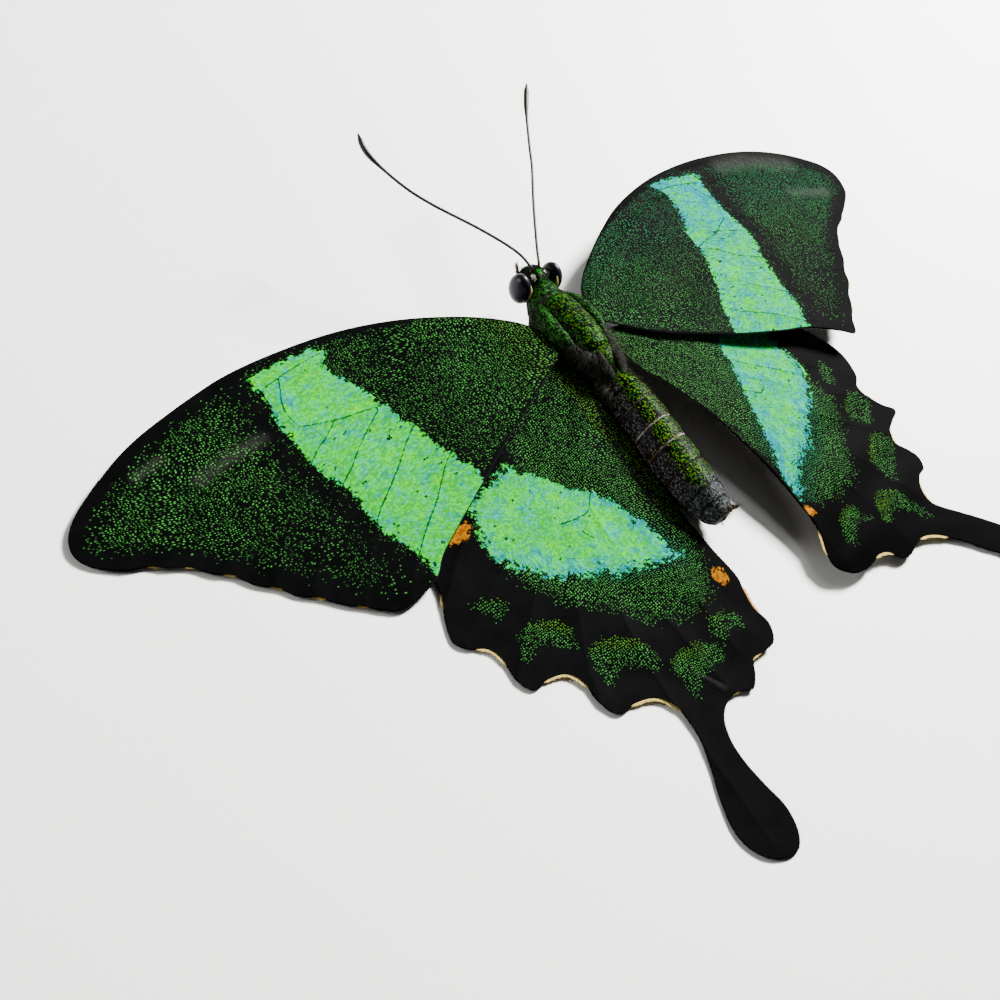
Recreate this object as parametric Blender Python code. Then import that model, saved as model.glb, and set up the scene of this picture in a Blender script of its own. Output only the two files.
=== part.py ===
"""A dried swallowtail butterfly with its wings spread, lying on its underside.

Sizes are written in millimetres and turned into Blender's metres by MM. While it is modelled, the butterfly's
head points to +Y, its right wings to +X and its back to +Z, and the surface it lies on is z = 0. The last step
moves everything so that the origin is at the middle of the underside of the whole object's box.
"""
import math

import bmesh
import bpy
from mathutils import Vector
from mathutils.geometry import delaunay_2d_cdt

MM = 0.001
LEFT = -1
RIGHT = 1

# Wings: one closed skin each, bent like the dried wing
WING_THICKNESS = 0.3
WING_MESH_STEP = 2.6
WING_EDGE_STEP = 1.0
WING_EDGE_CLEARANCE = 0.9

# How each wing is held: side, hinge point, droop and pitch in degrees, then how much it bends with
# u * u, u * v, v * v, u * v * v and v * v * v, where u goes out from the hinge and v forward, in mm
WING_POSES = {
    "forewing_left": (LEFT, (2.7, -0.6, 4.8), 8.3, 0.1, (0.0010, 0.0016, -0.0015, 0.0, 0.0)),
    "forewing_right": (RIGHT, (2.4, 0.5, 4.8), 1.2, 1.8, (-0.0012, 0.0006, 0.0009, 0.0, 0.0)),
    "hindwing_left": (LEFT, (2.8, 0.2, 4.0), 8.3, 7.0, (0.0010, -0.0028, 0.0009, 0.0, 0.0)),
    "hindwing_right": (RIGHT, (2.4, -0.1, 4.25), 5.6, -4.5, (-0.0001, 0.0064, -0.0043, 0.00024, 0.000013)),
}

# Outlines, flat: distance out from the hinge, distance forward of it. Costa, apex, margin, then inner edge
WING_OUTLINES = {
    "forewing_left": [
        (0.5, 0.5), (1.1, 3.2), (3.2, 5.7), (6.7, 8.3), (11.7, 10.9), (17.4, 12.7), (23.5, 13.5),
        (29.8, 13.5), (36.6, 12.2), (41.3, 10.7), (45.8, 8.2), (48.2, 6.3), (49.1, 4.4), (48.5, 2.6),
        (46.5, 1.0), (44.7, 0.3), (43.5, -0.6), (41.9, -1.5), (40.8, -2.8), (39.4, -3.9), (38.4, -5.5),
        (36.9, -6.8), (36.1, -8.1), (34.7, -9.2), (33.2, -10.9), (31.8, -12.0), (30.8, -13.0),
        (29.4, -13.8), (27.4, -13.7), (25.1, -13.0), (23.4, -11.6), (20.2, -9.9), (14.6, -7.1),
        (11.2, -5.4), (7.5, -3.8), (3.8, -2.1), (1.4, -1.0),
    ],
    "forewing_right": [
        (0.5, 0.4), (1.1, 2.7), (2.7, 4.7), (5.7, 6.9), (9.5, 9.2), (13.7, 11.3), (18.7, 12.9),
        (23.7, 13.8), (29.4, 14.1), (35.6, 13.7), (40.7, 12.7), (45.2, 11.0), (49.0, 8.7), (50.3, 7.2),
        (50.6, 5.9), (50.2, 4.4), (49.2, 3.0), (46.8, 1.4), (45.2, 0.5), (43.8, -0.4), (41.9, -1.3),
        (40.2, -2.8), (39.2, -3.8), (38.1, -5.3), (36.5, -6.7), (35.5, -8.2), (33.7, -9.6), (32.1, -11.4),
        (30.7, -12.5), (29.1, -14.2), (27.4, -13.2), (23.7, -11.2), (19.8, -10.1), (14.7, -8.4),
        (10.2, -6.4), (6.0, -4.3), (2.0, -1.4),
    ],
    "hindwing_left": [
        (0.3, -1.2), (2.9, -0.9), (6.9, -2.0), (11.8, -4.3), (16.8, -6.9), (21.3, -9.7), (24.1, -12.5),
        (25.3, -15.7), (26.4, -17.8), (27.0, -19.6), (26.3, -20.8), (24.9, -21.7), (24.4, -23.1),
        (24.5, -25.3), (23.9, -26.7), (22.1, -26.7), (20.5, -27.2), (19.7, -28.7), (19.7, -30.7),
        (19.0, -32.4), (17.0, -32.5), (15.1, -33.2), (14.1, -34.9), (14.1, -36.5), (14.4, -38.3),
        (15.4, -40.6), (16.5, -42.7), (17.4, -45.1), (17.4, -46.9), (16.6, -48.5), (15.1, -49.5),
        (13.7, -49.5), (12.6, -48.3), (12.1, -46.4), (12.3, -44.2), (12.4, -41.8), (12.1, -39.7),
        (11.2, -37.9), (9.7, -36.9), (8.1, -36.9), (6.9, -37.4), (5.8, -36.6), (4.8, -35.4), (3.5, -35.4),
        (1.9, -35.2), (1.0, -33.7), (1.2, -31.8), (0.8, -29.9), (0.4, -28.4), (0.6, -24.9), (0.6, -19.9),
        (0.2, -14.4), (-0.0, -8.9), (0.0, -5.0),
    ],
    "hindwing_right": [
        (0.3, -1.4), (2.8, -0.8), (7.6, -1.9), (13.5, -3.7), (19.3, -6.0), (24.2, -8.1), (26.6, -10.8),
        (27.8, -13.7), (27.1, -16.6), (25.6, -18.0), (25.5, -19.4), (26.4, -21.1), (27.6, -22.4),
        (25.7, -23.3), (24.2, -24.1), (23.3, -25.5), (24.1, -26.9), (24.5, -28.1), (23.9, -29.3),
        (22.4, -29.8), (21.1, -31.1), (20.8, -32.6), (21.5, -33.7), (23.0, -35.2), (24.6, -36.9),
        (26.1, -38.7), (27.7, -40.7), (28.8, -42.9), (29.1, -44.8), (28.6, -46.4), (27.4, -47.2),
        (26.1, -46.8), (25.0, -45.4), (24.2, -43.3), (23.3, -41.0), (22.0, -39.5), (20.9, -38.1),
        (19.4, -36.6), (17.9, -35.5), (16.3, -35.0), (14.6, -35.3), (13.4, -35.6), (12.2, -35.4),
        (11.3, -34.3), (10.0, -33.9), (8.3, -34.2), (7.0, -34.2), (5.6, -33.8), (4.2, -32.5), (4.3, -31.0),
        (5.1, -29.3), (5.4, -26.8), (5.2, -22.0), (4.8, -18.6), (3.9, -13.9), (3.0, -11.4), (1.8, -8.3),
        (0.7, -6.4),
    ],
}

# Body sections, front to back: y, x of the middle, half width, underside z, top z
THORAX_SECTIONS = [
    (5.5, 0.0, 0.9, 3.2, 5.3), (5.1, 0.0, 1.7, 2.0, 5.9), (4.2, 0.0, 2.4, 0.8, 6.3), (2.8, 0.0, 2.7, 0.1, 6.6),
    (1.0, 0.0, 2.75, -0.2, 6.7), (-0.8, 0.0, 2.7, -0.25, 6.6), (-2.4, 0.0, 2.4, -0.1, 6.2),
    (-3.8, 0.1, 1.9, 0.4, 5.8), (-4.8, 0.2, 1.4, 1.0, 5.3), (-5.4, 0.3, 0.9, 1.7, 4.7),
]
HEAD_SECTIONS = [
    (9.0, 0.2, 0.4, 4.2, 5.2), (8.7, 0.2, 0.9, 3.6, 5.9), (8.0, 0.2, 1.15, 3.1, 6.5), (7.1, 0.2, 1.2, 2.9, 6.8),
    (6.4, 0.1, 1.15, 3.1, 6.4), (5.9, 0.1, 0.8, 3.6, 5.6),
]
ABDOMEN_SECTIONS = [
    (-5.8, 0.3, 1.1, 1.5, 4.6), (-7.2, 0.3, 1.9, 0.5, 5.2), (-9.5, 0.1, 2.2, 0.0, 5.4),
    (-12.0, -0.1, 2.3, -0.15, 5.3), (-14.5, -0.35, 2.4, -0.15, 5.1), (-17.0, -0.55, 2.4, -0.1, 4.9),
    (-19.2, -0.7, 2.2, 0.2, 4.7), (-21.0, -0.8, 1.9, 0.6, 4.4), (-22.4, -0.85, 1.5, 1.1, 4.0),
    (-23.3, -0.9, 0.9, 1.7, 3.5),
]
BODY_SIDES = 20
SEGMENT_JOINTS = [-7.9, -10.3, -12.7, -15.0, -17.2, -19.3, -21.2]
SEGMENT_GROOVE = 0.13

# Eyes: side and centre of each, their three radii, and the gap between an eye and the head's widest section
EYE_CENTRES = {
    "eye_left": (LEFT, (-1.75, 7.2, 4.85)),
    "eye_right": (RIGHT, (2.3, 7.0, 4.95)),
}
EYE_RADII = (0.9, 1.35, 1.7)
EYE_TO_HEAD_GAP = 0.3

# Antennae: route of each, raised and opening forwards, with the club at the tip
ANTENNA_SHAFT_RADIUS = 0.13
ANTENNA_CLUB_RADIUS = 0.27
ANTENNA_CLUB_START = 0.78
ANTENNA_ROUTES = {
    "antenna_left": [
        (-0.5, 7.9, 6.85), (-0.9, 10.0, 7.25), (-3.1, 13.3, 8.1), (-6.6, 17.4, 9.3), (-8.3, 20.4, 10.0),
        (-9.5, 24.2, 10.9), (-9.1, 26.6, 11.4),
    ],
    "antenna_right": [
        (0.6, 7.8, 6.85), (1.7, 9.6, 7.3), (4.3, 13.6, 8.35), (6.9, 17.3, 9.3), (8.4, 19.7, 9.8),
        (10.7, 23.3, 10.7), (13.0, 26.3, 11.4),
    ],
}
ANTENNA_STEPS = 3

# Palps: one short finger on each side of the face, the left one dried further forward and up
PALP_RADIUS = 0.34
PALP_ROUTES = {
    "palp_left": [(-0.5, 9.1, 3.3), (-0.7, 9.6, 4.4), (-0.7, 9.65, 5.6)],
    "palp_right": [(0.8, 9.0, 3.2), (0.9, 9.4, 3.8), (0.85, 9.5, 4.4)],
}

# Legs, folded flat under the body: hip, knee, ankle and toe of the right ones
LEG_RADIUS = 0.22
LEG_ROUTES = {
    "front": [(1.9, 4.7, 0.9), (3.1, 6.7, 0.9), (2.5, 3.6, 0.6), (3.5, 1.2, 0.35)],
    "middle": [(3.3, 1.7, 0.9), (5.2, 3.0, 0.8), (4.3, -0.8, 0.5), (4.5, -3.9, 0.35)],
    "hind": [(3.0, -1.9, 0.8), (5.0, -2.5, 0.7), (3.5, -4.6, 0.5), (3.0, -6.4, 0.35)],
}

COLOURS = {
    "wing": (0.010, 0.060, 0.018, 1.0),
    "body": (0.075, 0.110, 0.020, 1.0),
    "abdomen": (0.070, 0.085, 0.035, 1.0),
    "eye": (0.010, 0.008, 0.008, 1.0),
    "antenna": (0.020, 0.014, 0.008, 1.0),
    "leg": (0.020, 0.015, 0.010, 1.0),
}


def clear_scene():
    """Removes what a new file starts with."""
    for item in list(bpy.data.objects):
        bpy.data.objects.remove(item, do_unlink=True)


def make_material(name, colour, roughness):
    """Returns a plain Principled material."""
    material = bpy.data.materials.new(name)
    material.use_nodes = True
    shader = material.node_tree.nodes["Principled BSDF"]
    shader.inputs["Base Color"].default_value = colour
    shader.inputs["Roughness"].default_value = roughness
    shader.inputs["Metallic"].default_value = 0.0
    return material


def add_object(name, mesh_data, material):
    """Turns a bmesh into a named, smooth-shaded object in metres."""
    bmesh.ops.scale(mesh_data, vec=(MM, MM, MM), verts=mesh_data.verts)
    bmesh.ops.recalc_face_normals(mesh_data, faces=mesh_data.faces)
    mesh = bpy.data.meshes.new(name)
    mesh_data.to_mesh(mesh)
    mesh_data.free()
    mesh.shade_smooth()
    mesh.set_sharp_from_angle(angle=math.radians(50))
    mesh.materials.append(material)
    item = bpy.data.objects.new(name, mesh)
    bpy.context.scene.collection.objects.link(item)
    return item


def smooth_through(points, steps, closed):
    """Samples a curve through the points, with the same number of steps between each pair."""
    count = len(points)
    spans = count if closed else count - 1
    result = []
    for index in range(spans):
        if closed:
            near = [points[(index + shift) % count] for shift in (-1, 0, 1, 2)]
        else:
            near = [points[min(max(index + shift, 0), count - 1)] for shift in (-1, 0, 1, 2)]
        before, start, end, after = [Vector(point) for point in near]
        for step in range(steps):
            t = step / steps
            result.append(0.5 * (2 * start + (end - before) * t
                                 + (2 * before - 5 * start + 4 * end - after) * t * t
                                 + (3 * start - before - 3 * end + after) * t ** 3))
    if not closed:
        result.append(Vector(points[-1]))
    return result


def even_outline(points, spacing):
    """Walks round a smooth closed curve through the points in steps of about the spacing."""
    dense = smooth_through(points, 12, True)
    lengths = [(dense[(i + 1) % len(dense)] - dense[i]).length for i in range(len(dense))]
    total = sum(lengths)
    count = round(total / spacing)
    result = []
    index, walked = 0, 0.0
    for step in range(count):
        target = total * step / count
        while walked + lengths[index] < target:
            walked += lengths[index]
            index += 1
        share = (target - walked) / lengths[index]
        result.append(dense[index].lerp(dense[(index + 1) % len(dense)], share))
    return result


def distance_to_outline(point, outline):
    """Returns the distance to the outline, positive inside it."""
    inside = False
    nearest = 1e9
    for index, start in enumerate(outline):
        end = outline[(index + 1) % len(outline)]
        edge = end - start
        t = min(max((point - start).dot(edge) / edge.length_squared, 0.0), 1.0)
        nearest = min(nearest, (point - start - edge * t).length)
        if (start.y > point.y) != (end.y > point.y):
            if point.x < start.x + (point.y - start.y) / edge.y * edge.x:
                inside = not inside
    return nearest if inside else -nearest


def wing_point(pose, u, v, lift):
    """Places a flat wing's point (u out, v forward) in space, lifted off the wing's middle surface."""
    side, hinge, droop, pitch, bends = pose
    w = bends[0] * u * u + bends[1] * u * v + bends[2] * v * v
    w += bends[3] * u * v * v + bends[4] * v * v * v
    placed = turned(pitch, droop, u, v, w + lift)
    return Vector((side * (placed.x + hinge[0]), placed.y + hinge[1], placed.z + hinge[2]))


def turned(pitch, droop, u, v, w):
    """Turns a point down about Y by the droop, then about X by the pitch."""
    down = math.radians(droop)
    nose = math.radians(pitch)
    x = math.cos(down) * u + math.sin(down) * w
    z = -math.sin(down) * u + math.cos(down) * w
    return Vector((x, math.cos(nose) * v - math.sin(nose) * z, math.sin(nose) * v + math.cos(nose) * z))


def build_wing(name, material):
    """Makes one wing as a thin closed skin."""
    pose = WING_POSES[name]
    outline = even_outline(WING_OUTLINES[name], WING_EDGE_STEP)
    points = list(outline)
    low_u = min(point.x for point in outline)
    high_u = max(point.x for point in outline)
    low_v = min(point.y for point in outline)
    high_v = max(point.y for point in outline)
    row_step = WING_MESH_STEP * math.sqrt(0.75)
    for row in range(math.ceil((high_v - low_v) / row_step)):
        for column in range(math.ceil((high_u - low_u) / WING_MESH_STEP) + 1):
            u = low_u + (column + 0.5 * (row % 2)) * WING_MESH_STEP
            candidate = Vector((u, low_v + row * row_step))
            if distance_to_outline(candidate, outline) > WING_EDGE_CLEARANCE:
                points.append(candidate)
    rim = list(range(len(outline)))
    verts, _, faces, _, _, _ = delaunay_2d_cdt(points, [], [rim], 1, 1e-6)
    skin = bmesh.new()
    half = WING_THICKNESS / 2
    top = [skin.verts.new(wing_point(pose, point.x, point.y, half)) for point in verts]
    bottom = [skin.verts.new(wing_point(pose, point.x, point.y, -half)) for point in verts]
    rim_edges = {}
    for face in faces:
        skin.faces.new([top[i] for i in face])
        skin.faces.new([bottom[i] for i in reversed(face)])
        for i, start in enumerate(face):
            end = face[(i + 1) % len(face)]
            if (end, start) in rim_edges:
                del rim_edges[(end, start)]
            else:
                rim_edges[(start, end)] = True
    for start, end in rim_edges:
        skin.faces.new([top[end], top[start], bottom[start], bottom[end]])
    return add_object(name, skin, material)


def loft(sections, sides):
    """Joins oval sections along Y into one closed body with rounded ends."""
    body = bmesh.new()
    rings = []
    for y, middle, half_width, low, high in sections:
        ring = []
        for side in range(sides):
            angle = 2 * math.pi * side / sides
            x = middle + half_width * math.cos(angle)
            z = (low + high) / 2 + (high - low) / 2 * math.sin(angle)
            ring.append(body.verts.new((x, y, z)))
        rings.append(ring)
    for front, back in zip(rings, rings[1:]):
        for side in range(sides):
            after = (side + 1) % sides
            body.faces.new([front[side], front[after], back[after], back[side]])
    body.faces.new(rings[0])
    body.faces.new(list(reversed(rings[-1])))
    return body


def cut_flat(body, level):
    """Cuts a body off flat at a level and closes the cut, so that it has a real face to rest on."""
    everything = list(body.verts) + list(body.edges) + list(body.faces)
    cut = bmesh.ops.bisect_plane(body, geom=everything, dist=1e-5, plane_co=(0.0, 0.0, level),
                                 plane_no=(0.0, 0.0, 1.0), clear_inner=True)
    rim = [item for item in cut["geom_cut"] if isinstance(item, bmesh.types.BMEdge)]
    bmesh.ops.edgeloop_fill(body, edges=rim)


def smooth_sections(sections, steps):
    """Adds sections between the given ones."""
    fine = []
    columns = [smooth_through([(section[0], section[k], 0.0) for section in sections], steps, False)
               for k in range(1, 5)]
    for row in zip(*columns):
        fine.append((row[0].x, row[0].y, row[1].y, row[2].y, row[3].y))
    return fine


def build_thorax(material):
    """Makes the thorax, resting on a flat belly."""
    body = loft(smooth_sections(THORAX_SECTIONS, 2), BODY_SIDES)
    cut_flat(body, 0.0)
    return add_object("thorax", body, material)


def section_at(sections, y):
    """Returns the section at one y, straight between its neighbours."""
    for front, back in zip(sections, sections[1:]):
        if front[0] >= y >= back[0]:
            t = (front[0] - y) / (front[0] - back[0])
            return tuple(a + (b - a) * t for a, b in zip(front, back))
    return sections[-1] if y < sections[-1][0] else sections[0]


def build_abdomen(material):
    """Makes the abdomen with a groove at each joint between its segments, resting on a flat belly."""
    fine = smooth_sections(ABDOMEN_SECTIONS, 6)
    places = [ABDOMEN_SECTIONS[0][0], -6.4, -7.0]
    for front, back in zip(SEGMENT_JOINTS, SEGMENT_JOINTS[1:]):
        places += [front + 0.22, front, front - 0.22, (front + back) / 2]
    places += [SEGMENT_JOINTS[-1] + 0.22, SEGMENT_JOINTS[-1], SEGMENT_JOINTS[-1] - 0.22, -22.2, -22.9,
               ABDOMEN_SECTIONS[-1][0]]
    sections = []
    for y in places:
        y, middle, half_width, low, high = section_at(fine, y)
        groove = SEGMENT_GROOVE if y in SEGMENT_JOINTS else 0.0
        sections.append((y, middle, half_width - groove, low, high - groove))
    body = loft(sections, BODY_SIDES)
    cut_flat(body, 0.0)
    return add_object("abdomen", body, material)


def build_head(material):
    """Makes the head between the eyes."""
    return add_object("head", loft(smooth_sections(HEAD_SECTIONS, 2), BODY_SIDES), material)


def build_eye(name, material):
    """Makes one bulging eye, cut flat where it faces the head."""
    side, centre = EYE_CENTRES[name]
    ball = bmesh.new()
    bmesh.ops.create_uvsphere(ball, u_segments=16, v_segments=10, radius=1.0)
    bmesh.ops.scale(ball, vec=EYE_RADII, verts=ball.verts)
    bmesh.ops.translate(ball, vec=centre, verts=ball.verts)
    everything = list(ball.verts) + list(ball.edges) + list(ball.faces)
    widest = HEAD_SECTIONS[3]
    face_of_head = widest[1] + side * (widest[2] + EYE_TO_HEAD_GAP)
    cut = bmesh.ops.bisect_plane(ball, geom=everything, dist=1e-5, plane_co=(face_of_head, 0.0, 0.0),
                                 plane_no=(side, 0.0, 0.0), clear_inner=True)
    rim = [item for item in cut["geom_cut"] if isinstance(item, bmesh.types.BMEdge)]
    bmesh.ops.edgeloop_fill(ball, edges=rim)
    return add_object(name, ball, material)


def build_tube(name, route, radii, material, resolution):
    """Makes a round rod along a route, with its radius given at each point."""
    curve = bpy.data.curves.new(name, "CURVE")
    curve.dimensions = "3D"
    curve.bevel_depth = 1.0 * MM
    curve.bevel_resolution = resolution
    curve.use_fill_caps = True
    line = curve.splines.new("POLY")
    line.points.add(len(route) - 1)
    for target, place, radius in zip(line.points, route, radii):
        target.co = (place.x * MM, place.y * MM, place.z * MM, 1.0)
        target.radius = radius
    curve.materials.append(material)
    item = bpy.data.objects.new(name, curve)
    bpy.context.scene.collection.objects.link(item)
    return item


def build_antenna(name, material):
    """Makes one antenna: a thin shaft that swells into a club."""
    route = smooth_through(ANTENNA_ROUTES[name], ANTENNA_STEPS, False)
    radii = []
    for index in range(len(route)):
        t = index / (len(route) - 1)
        swell = max(0.0, (t - ANTENNA_CLUB_START) / (1.0 - ANTENNA_CLUB_START))
        club = math.sin(math.pi * min(1.0, 0.15 + 0.75 * swell)) if swell > 0.0 else 0.0
        radii.append(ANTENNA_SHAFT_RADIUS + (ANTENNA_CLUB_RADIUS - ANTENNA_SHAFT_RADIUS) * club)
    return build_tube(name, route, radii, material, 2)


def build_palp(name, material):
    """Makes one palp, thick at the mouth and thin at the tip."""
    path = smooth_through(PALP_ROUTES[name], 3, False)
    radii = [PALP_RADIUS * (1.0 - 0.5 * index / (len(path) - 1)) for index in range(len(path))]
    return build_tube(name, path, radii, material, 2)


def build_leg(name, side, route, material):
    """Makes one folded leg, thick at the hip and thin at the toe."""
    points = [Vector((side * x, y, z)) for x, y, z in route]
    path = smooth_through(points, 3, False)
    radii = [LEG_RADIUS * (1.2 - 0.7 * index / (len(path) - 1)) for index in range(len(path))]
    return build_tube(name, path, radii, material, 1)


def move_origin_to_base():
    """Moves every piece so that the origin is under the middle of the whole object's box."""
    bpy.context.view_layer.update()
    depsgraph = bpy.context.evaluated_depsgraph_get()
    low = Vector((1e9, 1e9, 1e9))
    high = Vector((-1e9, -1e9, -1e9))
    pieces = [item for item in bpy.data.objects if item.type in {"MESH", "CURVE"}]
    for item in pieces:
        shape = item.evaluated_get(depsgraph).to_mesh()
        for vertex in shape.vertices:
            low = Vector(map(min, low, vertex.co))
            high = Vector(map(max, high, vertex.co))
        item.evaluated_get(depsgraph).to_mesh_clear()
    shift = Vector((-(low.x + high.x) / 2, -(low.y + high.y) / 2, -low.z))
    for item in pieces:
        item.location = shift


def main():
    clear_scene()
    wing = make_material("wing scales", COLOURS["wing"], 0.55)
    body = make_material("body scales", COLOURS["body"], 0.7)
    abdomen = make_material("abdomen scales", COLOURS["abdomen"], 0.6)
    eye = make_material("eye", COLOURS["eye"], 0.12)
    antenna = make_material("antenna", COLOURS["antenna"], 0.45)
    leg = make_material("leg", COLOURS["leg"], 0.5)
    build_thorax(body)
    build_head(body)
    build_abdomen(abdomen)
    for name in WING_POSES:
        build_wing(name, wing)
    for name in ANTENNA_ROUTES:
        build_antenna(name, antenna)
    for name in EYE_CENTRES:
        build_eye(name, eye)
    for name in PALP_ROUTES:
        build_palp(name, body)
    for word, side in (("left", LEFT), ("right", RIGHT)):
        for place, route in LEG_ROUTES.items():
            build_leg("leg_" + place + "_" + word, side, route, leg)
    move_origin_to_base()


main()
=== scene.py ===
"""The looks of a dried swallowtail butterfly with green-banded wings, spread and lying on its underside.

Sizes are in millimetres in the butterfly's own frame: its right is +X, its head +Y, its back +Z, and the surface
that it lies on is z = 0. placed() turns them into the frame's metres. A wing's marks are given flat: distance out
from its hinge, distance forward of it.
"""
import math

import bpy
import numpy as np
from mathutils import Euler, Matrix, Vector
from mathutils.geometry import delaunay_2d_cdt


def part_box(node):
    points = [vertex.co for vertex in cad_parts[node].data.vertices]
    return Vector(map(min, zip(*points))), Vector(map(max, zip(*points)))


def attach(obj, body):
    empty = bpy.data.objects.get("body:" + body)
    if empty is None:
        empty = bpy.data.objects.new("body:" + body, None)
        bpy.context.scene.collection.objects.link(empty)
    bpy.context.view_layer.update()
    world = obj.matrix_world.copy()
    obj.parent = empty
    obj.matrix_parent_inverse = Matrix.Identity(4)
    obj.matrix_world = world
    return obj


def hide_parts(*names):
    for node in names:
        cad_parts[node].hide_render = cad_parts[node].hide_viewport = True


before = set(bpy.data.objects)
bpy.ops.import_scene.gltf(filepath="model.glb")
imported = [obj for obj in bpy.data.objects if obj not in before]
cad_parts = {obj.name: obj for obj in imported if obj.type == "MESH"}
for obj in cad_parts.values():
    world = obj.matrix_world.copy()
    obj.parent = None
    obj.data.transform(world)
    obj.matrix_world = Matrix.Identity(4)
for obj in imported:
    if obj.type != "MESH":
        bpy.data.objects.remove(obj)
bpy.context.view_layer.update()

MM = 0.001
LEFT = -1
RIGHT = 1
THORAX_FRONT = 5.5

# Camera: where it stands and how it is turned, in the butterfly's frame, and its lens
CAMERA_PLACE = (-74.72, -45.19, 87.26)
CAMERA_TURN = (35.47, -14.19, -39.56)
SENSOR_WIDTH = 36.0
CAMERA_LENS = 43.23

# How each wing is held: side, hinge point, droop and pitch in degrees, then how much it bends with
# u * u, u * v, v * v, u * v * v and v * v * v, where u goes out from the hinge and v forward, in mm
WING_POSES = {
    "forewing_left": (LEFT, (2.7, -0.6, 4.8), 8.3, 0.1, (0.0010, 0.0016, -0.0015, 0.0, 0.0)),
    "forewing_right": (RIGHT, (2.4, 0.5, 4.8), 1.2, 1.8, (-0.0012, 0.0006, 0.0009, 0.0, 0.0)),
    "hindwing_left": (LEFT, (2.8, 0.2, 4.0), 8.3, 7.0, (0.0010, -0.0028, 0.0009, 0.0, 0.0)),
    "hindwing_right": (RIGHT, (2.4, -0.1, 4.25), 5.6, -4.5, (-0.0001, 0.0064, -0.0043, 0.00024, 0.000013)),
}

# Wing outlines, flat: costa, apex, margin, then inner edge
WING_OUTLINES = {
    "forewing_left": [
        (0.5, 0.5), (1.1, 3.2), (3.2, 5.7), (6.7, 8.3), (11.7, 10.9), (17.4, 12.7), (23.5, 13.5),
        (29.8, 13.5), (36.6, 12.2), (41.3, 10.7), (45.8, 8.2), (48.2, 6.3), (49.1, 4.4), (48.5, 2.6),
        (46.5, 1.0), (44.7, 0.3), (43.5, -0.6), (41.9, -1.5), (40.8, -2.8), (39.4, -3.9), (38.4, -5.5),
        (36.9, -6.8), (36.1, -8.1), (34.7, -9.2), (33.2, -10.9), (31.8, -12.0), (30.8, -13.0),
        (29.4, -13.8), (27.4, -13.7), (25.1, -13.0), (23.4, -11.6), (20.2, -9.9), (14.6, -7.1),
        (11.2, -5.4), (7.5, -3.8), (3.8, -2.1), (1.4, -1.0),
    ],
    "forewing_right": [
        (0.5, 0.4), (1.1, 2.7), (2.7, 4.7), (5.7, 6.9), (9.5, 9.2), (13.7, 11.3), (18.7, 12.9),
        (23.7, 13.8), (29.4, 14.1), (35.6, 13.7), (40.7, 12.7), (45.2, 11.0), (49.0, 8.7), (50.3, 7.2),
        (50.6, 5.9), (50.2, 4.4), (49.2, 3.0), (46.8, 1.4), (45.2, 0.5), (43.8, -0.4), (41.9, -1.3),
        (40.2, -2.8), (39.2, -3.8), (38.1, -5.3), (36.5, -6.7), (35.5, -8.2), (33.7, -9.6), (32.1, -11.4),
        (30.7, -12.5), (29.1, -14.2), (27.4, -13.2), (23.7, -11.2), (19.8, -10.1), (14.7, -8.4),
        (10.2, -6.4), (6.0, -4.3), (2.0, -1.4),
    ],
    "hindwing_left": [
        (0.3, -1.2), (2.9, -0.9), (6.9, -2.0), (11.8, -4.3), (16.8, -6.9), (21.3, -9.7), (24.1, -12.5),
        (25.3, -15.7), (26.4, -17.8), (27.0, -19.6), (26.3, -20.8), (24.9, -21.7), (24.4, -23.1),
        (24.5, -25.3), (23.9, -26.7), (22.1, -26.7), (20.5, -27.2), (19.7, -28.7), (19.7, -30.7),
        (19.0, -32.4), (17.0, -32.5), (15.1, -33.2), (14.1, -34.9), (14.1, -36.5), (14.4, -38.3),
        (15.4, -40.6), (16.5, -42.7), (17.4, -45.1), (17.4, -46.9), (16.6, -48.5), (15.1, -49.5),
        (13.7, -49.5), (12.6, -48.3), (12.1, -46.4), (12.3, -44.2), (12.4, -41.8), (12.1, -39.7),
        (11.2, -37.9), (9.7, -36.9), (8.1, -36.9), (6.9, -37.4), (5.8, -36.6), (4.8, -35.4), (3.5, -35.4),
        (1.9, -35.2), (1.0, -33.7), (1.2, -31.8), (0.8, -29.9), (0.4, -28.4), (0.6, -24.9), (0.6, -19.9),
        (0.2, -14.4), (-0.0, -8.9), (0.0, -5.0),
    ],
    "hindwing_right": [
        (0.3, -1.4), (2.8, -0.8), (7.6, -1.9), (13.5, -3.7), (19.3, -6.0), (24.2, -8.1), (26.6, -10.8),
        (27.8, -13.7), (27.1, -16.6), (25.6, -18.0), (25.5, -19.4), (26.4, -21.1), (27.6, -22.4),
        (25.7, -23.3), (24.2, -24.1), (23.3, -25.5), (24.1, -26.9), (24.5, -28.1), (23.9, -29.3),
        (22.4, -29.8), (21.1, -31.1), (20.8, -32.6), (21.5, -33.7), (23.0, -35.2), (24.6, -36.9),
        (26.1, -38.7), (27.7, -40.7), (28.8, -42.9), (29.1, -44.8), (28.6, -46.4), (27.4, -47.2),
        (26.1, -46.8), (25.0, -45.4), (24.2, -43.3), (23.3, -41.0), (22.0, -39.5), (20.9, -38.1),
        (19.4, -36.6), (17.9, -35.5), (16.3, -35.0), (14.6, -35.3), (13.4, -35.6), (12.2, -35.4),
        (11.3, -34.3), (10.0, -33.9), (8.3, -34.2), (7.0, -34.2), (5.6, -33.8), (4.2, -32.5), (4.3, -31.0),
        (5.1, -29.3), (5.4, -26.8), (5.2, -22.0), (4.8, -18.6), (3.9, -13.9), (3.0, -11.4), (1.8, -8.3),
        (0.7, -6.4),
    ],
}

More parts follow.
